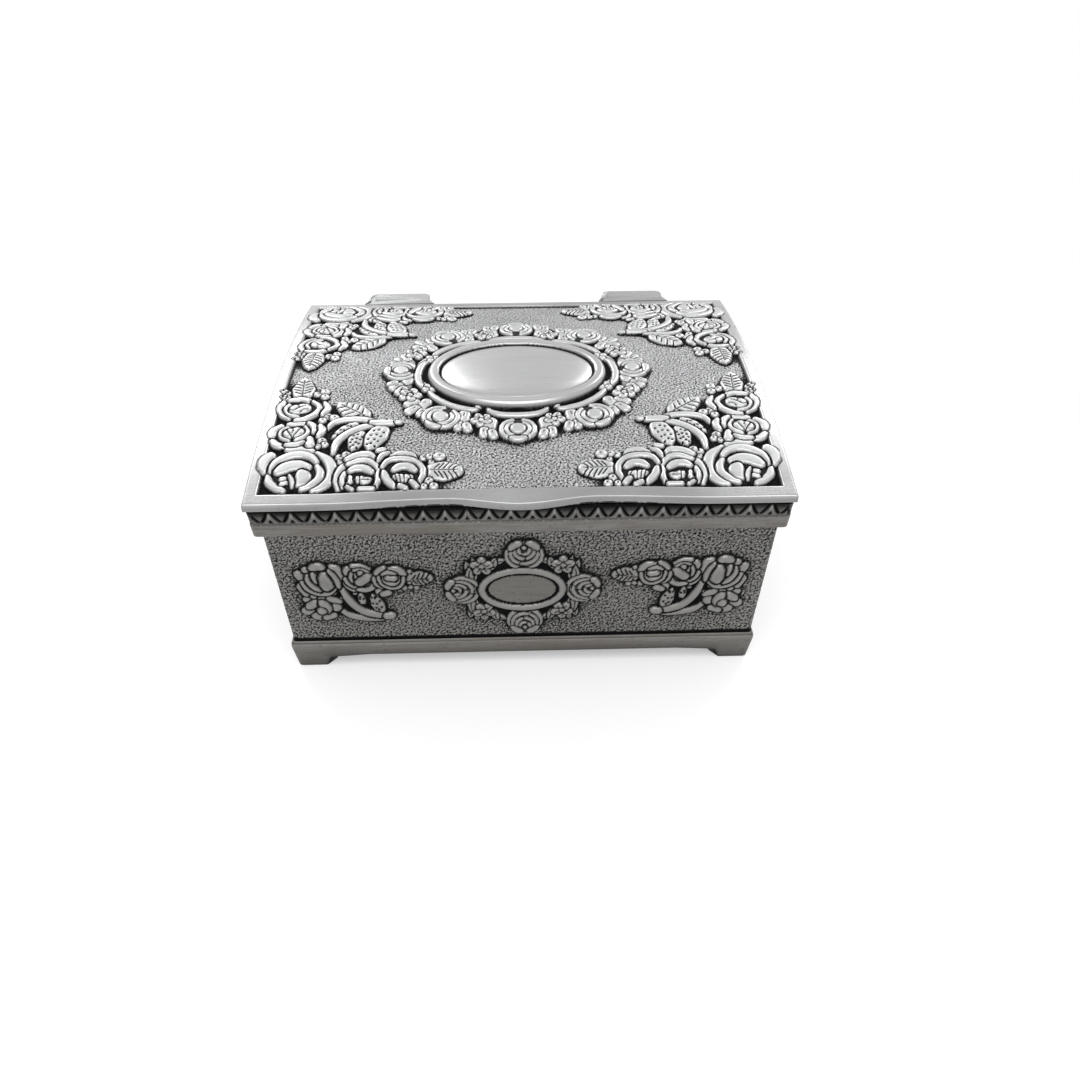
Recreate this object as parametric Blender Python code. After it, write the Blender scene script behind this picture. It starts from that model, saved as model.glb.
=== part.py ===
"""Metal trinket box: a cast box and a hinged, arched lid on a base with bracket feet, lined with velvet on card.

Metres, +Z up. The origin is under the middle of the whole box, on the surface that its feet stand on.
The front, with the thumb lip, faces -Y. The lid turns about the two hinge pins at the back.
"""

import math

import bmesh
import bpy

# Clearances
SEAT_GAP = 0.0003  # between pieces that rest on or lie against each other
PIN_CLEARANCE = 0.00008  # radial, round each hinge pin
CUT_OVERRUN = 0.002  # how far a cutter runs past what it cuts

# Lid
LID_WIDTH = 0.120
LID_DEPTH = 0.0990
LID_EDGE = 0.0020  # height of the edge at the corners
LID_ARCH = 0.0043  # rise from the front and back edges to the middle
LID_RIM = 0.0028  # width of the plain border
FIELD_SINK = 0.0009  # the field lies this far below the border
LID_PLATE = 0.0014  # metal left under the field
LID_SEAT = 0.0044  # width of the flat underside that rests on the box
LIP_REACH = 0.0011  # the thumb lip stands this far in front of the corners
LIP_HALF_WIDTH = 0.0165  # from the middle to the deepest place beside the lip
LIP_RECESS = 0.0011  # the edge beside the lip lies this far behind the corners
RECESS_LENGTH = 0.0280  # from the deepest place to the straight edge
LID_STEPS_X = 40
LID_STEPS_Y = 12

# Oval wreath and boss on the lid
WREATH_HALF_X = 0.0310
WREATH_HALF_Y = 0.0274
WREATH_BAND = 0.0072  # width of the band
WREATH_RISE = 0.0009  # of the band, above the field
BOSS_HALF_X = 0.0221
BOSS_HALF_Y = 0.0172
BOSS_SIDE = 0.0005  # slope of the ring's outer side, in plan
BOSS_HEIGHT = 0.0018  # of the ring, above the field
BOSS_GROOVE = 0.0006  # width of the groove between ring and plaque
BOSS_GROOVE_DEPTH = 0.0009
PLAQUE_HALF_X = 0.0190
PLAQUE_HALF_Y = 0.0134
PLAQUE_RISE = 0.0014  # dome of the plaque above its own edge
PLAQUE_RINGS = 4
OVAL_POINTS = 40

# Roses, leaves and stems in low relief. Their places are shares: across of half the width, back of half
# the lid's depth and up of the body's height. Radii and half widths are shares of half the width too, or
# of this share of the other length where that is less, so that forms stay clear of each other.
FORM_BALANCE_SHARE = 1.2
LID_FORM_RISE = 0.0011  # above the field
LID_ROSE_SHARES = (
    (0.825, 0.802, 0.112),
    (0.597, 0.814, 0.076),
    (0.435, 0.810, 0.078),
    (0.863, 0.539, 0.078),
    (0.860, 0.337, 0.076),
    (0.793, 0.202, 0.032),
    (0.753, 0.408, 0.028),
    (0.757, 0.606, 0.025),
    (0.668, 0.707, 0.019),
    (0.332, 0.717, 0.032),
    (0.338, 0.893, 0.026),
)
LID_LEAF_SHARES = (
    ((0.873, 0.230), (0.883, 0.048), 0.043),
    ((0.620, 0.418), (0.723, 0.287), 0.038),
    ((0.610, 0.555), (0.628, 0.685), 0.024),
    ((0.532, 0.507), (0.577, 0.681), 0.040),
    ((0.640, 0.470), (0.722, 0.568), 0.024),
    ((0.337, 0.810), (0.215, 0.812), 0.047),
)
LID_STEM_SHARES = (
    ((0.705, 0.681), (0.622, 0.507), 0.015),
    ((0.596, 0.487), (0.478, 0.461), 0.015),
    ((0.733, 0.477), (0.662, 0.438), 0.013),
)
WREATH_ROSE_SHARES = ((0, 0.93), (0.935, 0), (0.587, 0.737))  # of the wreath's half width and half depth
WREATH_ROSE_RADIUS = 0.0046
WREATH_ROSE_RISE = 0.0015  # above the field
WALL_FORM_RISE = 0.0009
WALL_ROSE_SHARES = (
    (0.793, 0.576, 0.074),
    (0.630, 0.586, 0.060),
    (0.507, 0.582, 0.056),
    (0.797, 0.398, 0.066),
)
WALL_LEAF_SHARES = (((0.433, 0.574), (0.345, 0.580), 0.037),)
WALL_STEM_SHARES = (((0.700, 0.516), (0.523, 0.343), 0.014),)
CARTOUCHE_ROSE_SHARES = (
    (0, 0.709, 0.072),
    (0, 0.293, 0.070),
    (0.235, 0.498, 0.070),
    (0.155, 0.645, 0.040),
    (0.155, 0.359, 0.040),
)
SIDE_ROSE_RADIUS = 0.0050
SIDE_SHIFT = 0.0110  # the side walls' sprays lie this much nearer the middle
FORM_ROOT = 0.0006  # how deep a form reaches into the casting
FORM_EDGE_SHARE = 0.35  # height of a form's edge, as a share of its rise
FORM_TOP_SHARE = 0.68  # size of its top, as a share of its outline
ROSE_POINTS = 8

# Box walls and rim moulding
BODY_HEIGHT = 0.0502
TOOTH_HEIGHT = 0.0037  # the carved upper part of the moulding
BAND_HEIGHT = 0.0033  # the plain band under it
MOULDING_TOP_INSET = 0.00015  # insets are measured from the lid's outline
TOOTH_FOOT_INSET = 0.00055
BAND_FOOT_INSET = 0.0008
WALL_TOP_INSET = 0.0023
WALL_FOOT_INSET = 0.0039
WALL_THICKNESS = 0.0022
CORNER_RADIUS = 0.0010
CORNER_STEPS = 3

# Oval cartouches on the front and back walls
CARTOUCHE_HALF_X = 0.0103
CARTOUCHE_HALF_Z = 0.0069
CARTOUCHE_RING = 0.0021
CARTOUCHE_HEIGHT = 0.0008
CARTOUCHE_PLAQUE_HEIGHT = 0.0004
CARTOUCHE_CENTRE_Z = 0.0249

# Base with bracket feet
BASE_HEIGHT = 0.0086
BASE_TOP_INSET = 0.0036
BASE_BULGE_INSET = 0.00315
BASE_BULGE_DROP = 0.0020  # the bulge lies this far below the top
BASE_FOOT_INSET = 0.0040
FLOOR_THICKNESS = 0.0023
APRON_CLEARANCE = 0.0039  # height of the arch between the feet
APRON_SHOULDER = 0.0031  # height of the arch where it meets a foot
FOOT_LENGTH = 0.0072
FOOT_STEP = 0.0014  # how far the foot's end leans in
SHOULDER_LENGTH = 0.0100  # the rise from shoulder to full arch
FOOT_THICKNESS = 0.0024
TRAY_LEDGE = 0.0027  # width of the raised border that carries the walls

# Hinges
HINGE_SPREAD_SHARE = 0.285  # each hinge's middle from the box's middle, as a share of the lid's width
HINGE_STAND_OFF = 0.0030  # pin axis behind the lid's back edge
KNUCKLE_RADIUS = 0.0028
KNUCKLE_LENGTH = 0.0146
TAB_LENGTH = 0.0172  # the flat tab over the knuckle, along the hinge
TAB_CORNER = 0.0018  # radius of the tab's back corners
TAB_ROOT = 0.0008  # how far the tab runs over the lid's border
TAB_FLARE = 0.0015  # the tab is this much wider each side where it meets the lid
EAR_LENGTH = 0.0080
EAR_RADIUS = 0.0019
EAR_DROP = 0.0062  # how far the ear's foot runs down the back wall
PIN_RADIUS = 0.0010
PIN_END_INSET = 0.0003
HOOD_THICKNESS = 0.0005  # metal left over the ear's barrel
HOOD_LIFT = 0.0005  # behind the pin the hood ends this far above its axis
ROUND_STEPS = 24

# Linings
CARD_THICKNESS = 0.0008
VELVET_THICKNESS = 0.0007
FLOOR_VELVET_THICKNESS = 0.0010
LINING_BELOW_RIM = 0.0018
LID_LINING_MARGIN = 0.0006

# Places that follow from the sizes above
HINGE_SPREAD = LID_WIDTH * HINGE_SPREAD_SHARE
LID_SEAT_Z = BODY_HEIGHT + SEAT_GAP
WALL_FOOT_Z = BASE_HEIGHT + SEAT_GAP
SHELF_Z = BODY_HEIGHT - TOOTH_HEIGHT - BAND_HEIGHT
FLOOR_TOP_Z = APRON_CLEARANCE + FLOOR_THICKNESS
HINGE_OVERHANG = HINGE_STAND_OFF + KNUCKLE_RADIUS
MIDDLE_Y = (LIP_REACH - HINGE_OVERHANG) / 2  # the lid's middle, so that the whole box is centred
PIN_Y = MIDDLE_Y + LID_DEPTH / 2 + HINGE_STAND_OFF
PIN_Z = BODY_HEIGHT

# Colours are linear RGB
PEWTER = ((0.42, 0.42, 0.41), 0.34, 1.0)
STEEL = ((0.55, 0.55, 0.56), 0.30, 1.0)
CARD = ((0.45, 0.38, 0.28), 0.90, 0.0)
VELVET = ((0.012, 0.012, 0.014), 0.95, 0.0)


def clear_scene():
    for obj in list(bpy.data.objects):
        bpy.data.objects.remove(obj, do_unlink=True)


def make_collection(name):
    collection = bpy.data.collections.new(name)
    bpy.context.scene.collection.children.link(collection)
    return collection


def make_material(name, finish):
    colour, roughness, metallic = finish
    material = bpy.data.materials.new(name)
    material.use_nodes = True
    shader = material.node_tree.nodes["Principled BSDF"]
    shader.inputs["Base Color"].default_value = (*colour, 1.0)
    shader.inputs["Roughness"].default_value = roughness
    shader.inputs["Metallic"].default_value = metallic
    material.diffuse_color = (*colour, 1.0)
    return material


def add_object(name, bm, material=None, smooth=False):
    """Makes an object from a bmesh: a part with its material, or a cutter when there is none."""
    bmesh.ops.recalc_face_normals(bm, faces=bm.faces)
    if bm.calc_volume(signed=True) < 0:
        bmesh.ops.reverse_faces(bm, faces=bm.faces)
    mesh = bpy.data.meshes.new(name)
    bm.to_mesh(mesh)
    bm.free()
    obj = bpy.data.objects.new(name, mesh)
    if material is None:
        CUTTERS.objects.link(obj)
        obj.hide_render = True
        obj.display_type = "WIRE"
        return obj
    BOX.objects.link(obj)
    mesh.materials.append(material)
    if smooth:
        mesh.shade_smooth()
        mesh.set_sharp_from_angle(angle=math.radians(30))
    return obj


def combine(obj, operation, *others):
    """Adds one exact Boolean modifier for each of the other meshes."""
    for other in others:
        modifier = obj.modifiers.new(other.name, "BOOLEAN")
        modifier.operation = operation
        modifier.solver = "EXACT"
        modifier.object = other


def rounded_rectangle(half_x, half_y, radius):
    """Points round a rectangle with rounded corners, anticlockwise from the +X side's foot."""
    points = []
    for corner, (sign_x, sign_y) in enumerate(((1, 1), (-1, 1), (-1, -1), (1, -1))):
        centre_x = sign_x * (half_x - radius)
        centre_y = sign_y * (half_y - radius)
        for step in range(CORNER_STEPS + 1):
            angle = (corner + step / CORNER_STEPS) * math.pi / 2
            points.append((centre_x + radius * math.cos(angle), centre_y + radius * math.sin(angle)))
    return points


def inset_section(inset, z, radius=CORNER_RADIUS):
    """One level of the box: the lid's outline, drawn in by an inset."""
    outline = rounded_rectangle(LID_WIDTH / 2 - inset, LID_DEPTH / 2 - inset, radius)
    return [(x, MIDDLE_Y + y, z) for x, y in outline]


def oval_section(half_x, half_y, height):
    """One level of an oval boss, in its own plane."""
    points = []
    for step in range(OVAL_POINTS):
        angle = 2 * math.pi * step / OVAL_POINTS
        points.append((half_x * math.cos(angle), half_y * math.sin(angle), height))
    return points


def loft(sections, ring=False, bm=None):
    """Skins a stack of sections with equal counts of points. A ring's last section joins its first."""
    if bm is None:
        bm = bmesh.new()
    loops = [[bm.verts.new(point) for point in section] for section in sections]
    pairs = list(zip(loops, loops[1:]))
    if ring:
        pairs.append((loops[-1], loops[0]))
    for lower, upper in pairs:
        for here in range(len(lower)):
            after = (here + 1) % len(lower)
            bm.faces.new((lower[here], lower[after], upper[after], upper[here]))
    if not ring:
        bm.faces.new(loops[0])
        bm.faces.new(loops[-1])
    return bm


def box(low, high):
    """A box between two corners."""
    bm = bmesh.new()
    bmesh.ops.create_cube(bm, size=1)
    for vert in bm.verts:
        vert.co = [a + (b - a) * (co + 0.5) for a, b, co in zip(low, high, vert.co)]
    return bm


def cylinder_x(radius, length, middle):
    """A cylinder along X."""
    bm = bmesh.new()
    bmesh.ops.create_cone(
        bm, cap_ends=True, segments=ROUND_STEPS, radius1=radius, radius2=radius, depth=length
    )
    for vert in bm.verts:
        x, y, z = vert.co
        vert.co = (middle[0] + z, middle[1] + y, middle[2] - x)
    return bm


def prism(outline, axis, start, end):
    """An outline of (along, height) points run from start to end along the other level axis."""
    bm = bmesh.new()
    ends = []
    for place in (start, end):
        if axis == "Y":
            ends.append([bm.verts.new((along, place, z)) for along, z in outline])
        else:
            ends.append([bm.verts.new((place, MIDDLE_Y + along, z)) for along, z in outline])
    for here in range(len(outline)):
        after = (here + 1) % len(outline)
        bm.faces.new((ends[0][here], ends[0][after], ends[1][after], ends[1][here]))
    bm.faces.new(ends[0])
    bm.faces.new(ends[1])
    return bm


# Low relief, shared by the lid and the walls


def rose_outline(u, v, radius):
    turns = [2 * math.pi * step / ROSE_POINTS for step in range(ROSE_POINTS)]
    return [(u + radius * math.cos(turn), v + radius * math.sin(turn)) for turn in turns]


def leaf_outline(base, tip, half_width, stem=False):
    """A pointed leaf, or a stem with even sides, from its base to its tip."""
    along = (tip[0] - base[0], tip[1] - base[1])
    length = math.hypot(*along)
    across = (-along[1] / length, along[0] / length)
    stations = ((0, 1), (1, 1)) if stem else ((0, 0.35), (0.4, 1), (1, 0.2))
    left = []
    right = []
    for share, spread in stations:
        u = base[0] + share * along[0]
        v = base[1] + share * along[1]
        reach = spread * half_width
        left.append((u + reach * across[0], v + reach * across[1]))
        right.append((u - reach * across[0], v - reach * across[1]))
    return left + right[::-1]


def add_form(bm, outline, rise, place):
    """A low pad with sloping sides. place turns (along, across, out) into a point on its face."""
    centre_u = sum(u for u, _ in outline) / len(outline)
    centre_v = sum(v for _, v in outline) / len(outline)
    stack = []
    for share, out in ((1, -FORM_ROOT), (1, rise * FORM_EDGE_SHARE), (FORM_TOP_SHARE, rise)):
        section = []
        for u, v in outline:
            section.append(place(centre_u + share * (u - centre_u), centre_v + share * (v - centre_v), out))
        stack.append(section)
    loft(stack, bm=bm)


def spray_outlines(roses, leaves, stems, scale_u, scale_v):
    """Outlines of one spray, from its shares, on the side where both places are above zero."""
    radius_scale = min(scale_u, FORM_BALANCE_SHARE * scale_v)
    outlines = [rose_outline(u * scale_u, v * scale_v, radius * radius_scale) for u, v, radius in roses]
    for table, stem in ((leaves, False), (stems, True)):
        for base, tip, half_width in table:
            ends = [(u * scale_u, v * scale_v) for u, v in (base, tip)]
            outlines.append(leaf_outline(*ends, half_width * radius_scale, stem))
    return outlines


def combine_forms(casting, name, bm):
    """Joins the forms, which lie clear of each other, to their casting."""
    bmesh.ops.triangulate(bm, faces=bm.faces)
    combine(casting, "UNION", add_object(name, bm))


# The lid


def lid_height(x, y):
    """Top of the lid's border at a place measured from the lid's middle."""
    along = 2 * y / LID_DEPTH
    return LID_SEAT_Z + LID_EDGE + LID_ARCH * (1 - along * along)


def field_height(x, y):
    return lid_height(x, y) - FIELD_SINK


def underside_height(x, y):
    return field_height(x, y) - LID_PLATE


def lip_reach(x):
    """How far the front edge stands forward of its corners at x: a lip between two shallow recesses."""
    past = abs(x) - LIP_HALF_WIDTH
    if past >= RECESS_LENGTH:
        return 0
    if past >= 0:
        return -LIP_RECESS * (1 + math.cos(math.pi * past / RECESS_LENGTH)) / 2
    swell = (1 + math.cos(math.pi * x / LIP_HALF_WIDTH)) / 2
    return swell * (LIP_REACH + LIP_RECESS) - LIP_RECESS


def arched_slab(half_x, half_y, lower, upper, lip=False):
    """A slab on a grid. Its lower and upper faces follow two functions of x and y."""
    bm = bmesh.new()
    bmesh.ops.create_grid(bm, x_segments=LID_STEPS_X, y_segments=LID_STEPS_Y, size=1)
    base = list(bm.verts)
    made = bmesh.ops.extrude_face_region(bm, geom=list(bm.faces))
    raised = [item for item in made["geom"] if isinstance(item, bmesh.types.BMVert)]
    for verts, surface in ((base, lower), (raised, upper)):
        for vert in verts:
            x = half_x * vert.co.x
            y = half_y * vert.co.y
            height = surface(x, y)
            if lip:
                y -= lip_reach(x) * (1 - vert.co.y) / 2
            vert.co = (x, MIDDLE_Y + y, height)
    return bm


def level(height):
    return lambda x, y: height


def oval_boss():
    """Ring, groove and domed plaque in the middle of the lid, as one stack of ovals."""
    top = field_height(0, 0) + BOSS_HEIGHT
    root = field_height(0, 0) - LID_PLATE * 0.75
    groove_z = top - BOSS_GROOVE_DEPTH
    sections = [
        (BOSS_HALF_X, BOSS_HALF_Y, root),
        (BOSS_HALF_X, BOSS_HALF_Y, top - BOSS_SIDE),
        (BOSS_HALF_X - BOSS_SIDE, BOSS_HALF_Y - BOSS_SIDE, top),
        (PLAQUE_HALF_X + BOSS_GROOVE, PLAQUE_HALF_Y + BOSS_GROOVE, top),
        (PLAQUE_HALF_X + BOSS_GROOVE, PLAQUE_HALF_Y + BOSS_GROOVE, groove_z),
        (PLAQUE_HALF_X, PLAQUE_HALF_Y, groove_z),
    ]
    for ring in range(1, PLAQUE_RINGS + 1):
        turn = math.pi / 2 * ring / (PLAQUE_RINGS + 1)
        share = math.cos(turn)
        sections.append((PLAQUE_HALF_X * share, PLAQUE_HALF_Y * share, groove_z + PLAQUE_RISE * math.sin(turn)))
    stack = [oval_section(half_x, half_y, z) for half_x, half_y, z in sections]
    return loft([[(x, MIDDLE_Y + y, z) for x, y, z in section] for section in stack])


def wreath():
    """Raised oval band round the boss. It follows the arch of the lid."""
    root = -LID_PLATE / 2
    stack = []
    for inset, rise in ((0, root), (0, WREATH_RISE), (WREATH_BAND, WREATH_RISE), (WREATH_BAND, root)):
        oval = oval_section(WREATH_HALF_X - inset, WREATH_HALF_Y - inset, rise)
        stack.append([(x, MIDDLE_Y + y, field_height(x, y) + out) for x, y, out in oval])
    bm = loft(stack, ring=True)
    bmesh.ops.triangulate(bm, faces=bm.faces)
    return bm


def lid_forms():
    """The four corner sprays and the eight roses of the wreath."""
    bm = bmesh.new()
    sprays = spray_outlines(LID_ROSE_SHARES, LID_LEAF_SHARES, LID_STEM_SHARES, LID_WIDTH / 2, LID_DEPTH / 2)
    for sign_x in (-1, 1):
        for sign_y in (-1, 1):

            def place(u, v, out):
                x = sign_x * u
                y = sign_y * v
                return (x, MIDDLE_Y + y, field_height(x, y) + out)

            for outline in sprays:
                add_form(bm, outline, LID_FORM_RISE, place)
            for share_x, share_y in WREATH_ROSE_SHARES:
                if (share_x == 0 and sign_x < 0) or (share_y == 0 and sign_y < 0):
                    continue
                rose = rose_outline(share_x * WREATH_HALF_X, share_y * WREATH_HALF_Y, WREATH_ROSE_RADIUS)
                add_form(bm, rose, WREATH_ROSE_RISE, place)
    return bm


def tab_outline(side):
    """Plan of a hinge lug's tab: it flares where it meets the lid and its back corners are round."""
    middle = side * HINGE_SPREAD
    edge_y = MIDDLE_Y + LID_DEPTH / 2
    back_y = PIN_Y + KNUCKLE_RADIUS
    tip = TAB_LENGTH / 2
    root = tip + TAB_FLARE
    half = [(root, edge_y - TAB_ROOT), (root, edge_y), (tip, edge_y + TAB_FLARE)]
    for step in range(CORNER_STEPS + 1):
        turn = math.pi / 2 * step / CORNER_STEPS
        x = tip - TAB_CORNER * (1 - math.cos(turn))
        half.append((x, back_y - TAB_CORNER * (1 - math.sin(turn))))
    right = [(middle + x, y) for x, y in half]
    left = [(middle - x, y) for x, y in reversed(half)]
    return right + left


def tab_height(y):
    """Top of the tab: it rises from just inside the lid's border to the knuckle's crown."""
    root_y = LID_DEPTH / 2 - TAB_ROOT
    share = min(1, (y - MIDDLE_Y - root_y) / (TAB_ROOT + TAB_FLARE))
    root_z = lid_height(0, root_y) - SEAT_GAP
    return root_z + share * (PIN_Z + KNUCKLE_RADIUS - root_z)


def hinge_lug(side):
    """Solids that make one lug of the lid: knuckle and tab, then what is cut from them."""
    tag = "left" if side < 0 else "right"
    middle = (side * HINGE_SPREAD, PIN_Y, PIN_Z)
    knuckle = add_object(f"lug_knuckle_{tag}", cylinder_x(KNUCKLE_RADIUS, KNUCKLE_LENGTH, middle))
    plan = tab_outline(side)
    under_z = LID_SEAT_Z + SEAT_GAP
    tab = loft([[(x, y, under_z) for x, y in plan], [(x, y, tab_height(y)) for x, y in plan]])
    bmesh.ops.triangulate(tab, faces=tab.faces)
    tab_tool = add_object(f"lug_tab_{tag}", tab)
    slot_radius = KNUCKLE_RADIUS - HOOD_THICKNESS
    slot_length = EAR_LENGTH + 2 * SEAT_GAP
    slot = add_object(f"lug_slot_{tag}", cylinder_x(slot_radius, slot_length, middle))
    half = slot_length / 2
    reach = KNUCKLE_RADIUS + CUT_OVERRUN
    below = box(
        (middle[0] - half, PIN_Y - reach, PIN_Z - reach),
        (middle[0] + half, PIN_Y + reach, PIN_Z),
    )
    behind = box(
        (middle[0] - half, PIN_Y, PIN_Z - reach / 2),
        (middle[0] + half, PIN_Y + reach, PIN_Z + HOOD_LIFT),
    )
    bore = cylinder_x(PIN_RADIUS + PIN_CLEARANCE, KNUCKLE_LENGTH + CUT_OVERRUN, middle)
    cuts = [
        slot,
        add_object(f"lug_under_{tag}", below),
        add_object(f"lug_behind_{tag}", behind),
        add_object(f"lug_bore_{tag}", bore),
    ]
    return [knuckle, tab_tool], cuts


def make_lid(metal):
    half_x = LID_WIDTH / 2
    half_y = LID_DEPTH / 2
    lid = add_object("lid_casting", arched_slab(half_x, half_y, level(LID_SEAT_Z), lid_height, lip=True), metal)
    above = lid_height(0, 0) + CUT_OVERRUN
    field = arched_slab(half_x - LID_RIM, half_y - LID_RIM, field_height, level(above))
    below = LID_SEAT_Z - CUT_OVERRUN
    hollow = arched_slab(half_x - LID_SEAT, half_y - LID_SEAT, level(below), underside_height)
    combine(lid, "DIFFERENCE", add_object("lid_field_cut", field), add_object("lid_hollow_cut", hollow))
    combine(lid, "UNION", add_object("lid_wreath", wreath()), add_object("lid_oval_boss", oval_boss()))
    combine_forms(lid, "lid_forms", lid_forms())
    lugs = [hinge_lug(side) for side in (-1, 1)]
    for solids, _ in lugs:
        combine(lid, "UNION", *solids)
    for _, cuts in lugs:
        combine(lid, "DIFFERENCE", *cuts)


def make_lid_lining(card, velvet):
    half_x = LID_WIDTH / 2 - LID_SEAT - LID_LINING_MARGIN
    half_y = LID_DEPTH / 2 - LID_SEAT - LID_LINING_MARGIN

    def hung(drop):
        return lambda x, y: underside_height(x, y) - drop

    card_top = SEAT_GAP
    card_foot = card_top + CARD_THICKNESS
    velvet_top = card_foot + SEAT_GAP
    velvet_foot = velvet_top + VELVET_THICKNESS
    add_object("lid_lining_card", arched_slab(half_x, half_y, hung(card_foot), hung(card_top)), card)
    add_object("lid_lining_velvet", arched_slab(half_x, half_y, hung(velvet_foot), hung(velvet_top)), velvet)


# The box walls


def wall_inset(z):
    """The wall leans in towards its foot. This is its outer face's inset at a height."""
    share = (z - WALL_FOOT_Z) / (SHELF_Z - WALL_FOOT_Z)
    return WALL_FOOT_INSET + share * (WALL_TOP_INSET - WALL_FOOT_INSET)


def inner_inset(z):
    return wall_inset(z) + WALL_THICKNESS


def wall_place(side, sign):
    """Turns (along, up, out) into a point on one leaning wall, mirrored along it by sign."""

    def place(u, z, out):
        stand = out - wall_inset(z)
        if side in ("front", "back"):
            facing = -1 if side == "front" else 1
            return (sign * u, MIDDLE_Y + facing * (LID_DEPTH / 2 + stand), z)
        facing = -1 if side == "left" else 1
        return (facing * (LID_WIDTH / 2 + stand), MIDDLE_Y + sign * u, z)

    return place


def wall_forms():
    """The sprays on all four walls, the roses round both cartouches and one rose on each side."""
    bm = bmesh.new()
    spray = spray_outlines(WALL_ROSE_SHARES, WALL_LEAF_SHARES, WALL_STEM_SHARES, LID_WIDTH / 2, BODY_HEIGHT)
    round_cartouche = spray_outlines(CARTOUCHE_ROSE_SHARES, (), (), LID_WIDTH / 2, BODY_HEIGHT)
    for side in ("front", "back", "left", "right"):
        shift = 0 if side in ("front", "back") else SIDE_SHIFT
        for sign in (-1, 1):
            for outline in spray:
                shifted = [(u - shift, z) for u, z in outline]
                add_form(bm, shifted, WALL_FORM_RISE, wall_place(side, sign))
        if shift:
            middle = rose_outline(0, CARTOUCHE_CENTRE_Z, SIDE_ROSE_RADIUS)
            add_form(bm, middle, WALL_FORM_RISE, wall_place(side, 1))
            continue
        for outline, (share_x, _, _) in zip(round_cartouche, CARTOUCHE_ROSE_SHARES):
            for sign in (-1, 1) if share_x else (1,):
                add_form(bm, outline, WALL_FORM_RISE, wall_place(side, sign))
    return bm


def cartouche(side):
    """Oval ring and flat plaque on the front or back wall, set against its leaning face."""
    ring = CARTOUCHE_RING
    sections = [(0, -WALL_THICKNESS / 2), (0, CARTOUCHE_HEIGHT), (ring, CARTOUCHE_HEIGHT)]
    sections.append((ring, CARTOUCHE_PLAQUE_HEIGHT))
    place = wall_place(side, 1)
    stack = []
    for inset, height in sections:
        level_points = oval_section(CARTOUCHE_HALF_X - inset, CARTOUCHE_HALF_Z - inset, height)
        stack.append([place(x, CARTOUCHE_CENTRE_Z + z, out) for x, z, out in level_points])
    return loft(stack)


def hinge_ear(side):
    """Ear on the back wall that the lid's lug turns round."""
    middle = (side * HINGE_SPREAD, PIN_Y, PIN_Z)
    half = EAR_LENGTH / 2
    root_y = MIDDLE_Y + LID_DEPTH / 2 - WALL_TOP_INSET - WALL_THICKNESS / 2
    foot_y = MIDDLE_Y + LID_DEPTH / 2 - WALL_TOP_INSET + SEAT_GAP
    outline = [
        (root_y, PIN_Z - EAR_RADIUS / 2),
        (root_y, PIN_Z - EAR_DROP - EAR_RADIUS),
        (foot_y, PIN_Z - EAR_DROP - EAR_RADIUS),
        (PIN_Y, PIN_Z - EAR_RADIUS * 0.98),
        (PIN_Y, PIN_Z),
    ]
    bracket = loft([[(x, y, z) for y, z in outline] for x in (middle[0] - half, middle[0] + half)])
    tag = "left" if side < 0 else "right"
    barrel = cylinder_x(EAR_RADIUS, EAR_LENGTH, middle)
    bore = cylinder_x(PIN_RADIUS + PIN_CLEARANCE, EAR_LENGTH + CUT_OVERRUN, middle)
    solids = [add_object(f"ear_bracket_{tag}", bracket), add_object(f"ear_barrel_{tag}", barrel)]
    return solids, add_object(f"ear_bore_{tag}", bore)


def make_walls(metal):
    outer = [
        (WALL_FOOT_INSET, WALL_FOOT_Z),
        (WALL_TOP_INSET, SHELF_Z),
        (BAND_FOOT_INSET, SHELF_Z),
        (TOOTH_FOOT_INSET, SHELF_Z + BAND_HEIGHT),
        (MOULDING_TOP_INSET, BODY_HEIGHT),
    ]
    inner = [(inner_inset(z), z) for z in (BODY_HEIGHT, WALL_FOOT_Z)]
    sections = [inset_section(inset, z) for inset, z in outer + inner]
    walls = add_object("wall_casting", loft(sections, ring=True), metal)
    for side in ("front", "back"):
        combine(walls, "UNION", add_object(f"{side}_cartouche", cartouche(side)))
    combine_forms(walls, "wall_forms", wall_forms())
    for side in (-1, 1):
        solids, bore = hinge_ear(side)
        combine(walls, "UNION", *solids)
        combine(walls, "DIFFERENCE", bore)


def make_pins(steel):
    for side, tag in ((-1, "left"), (1, "right")):
        middle = (side * HINGE_SPREAD, PIN_Y, PIN_Z)
        length = KNUCKLE_LENGTH - 2 * PIN_END_INSET
        add_object(f"hinge_pin_{tag}", cylinder_x(PIN_RADIUS, length, middle), steel, smooth=True)


# The base


def apron_outline(half_length):
    """The arch that is cut between two feet, as seen from one side."""
    toe = half_length - FOOT_LENGTH
    shoulder = toe - FOOT_STEP
    crown = shoulder - SHOULDER_LENGTH
    half = [
        (toe, -CUT_OVERRUN),
        (toe, 0),
        (toe - FOOT_STEP / 2, APRON_SHOULDER * 0.6),
        (shoulder, APRON_SHOULDER),
        (crown, APRON_CLEARANCE),
    ]
    return half + [(-along, z) for along, z in reversed(half)]


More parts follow.
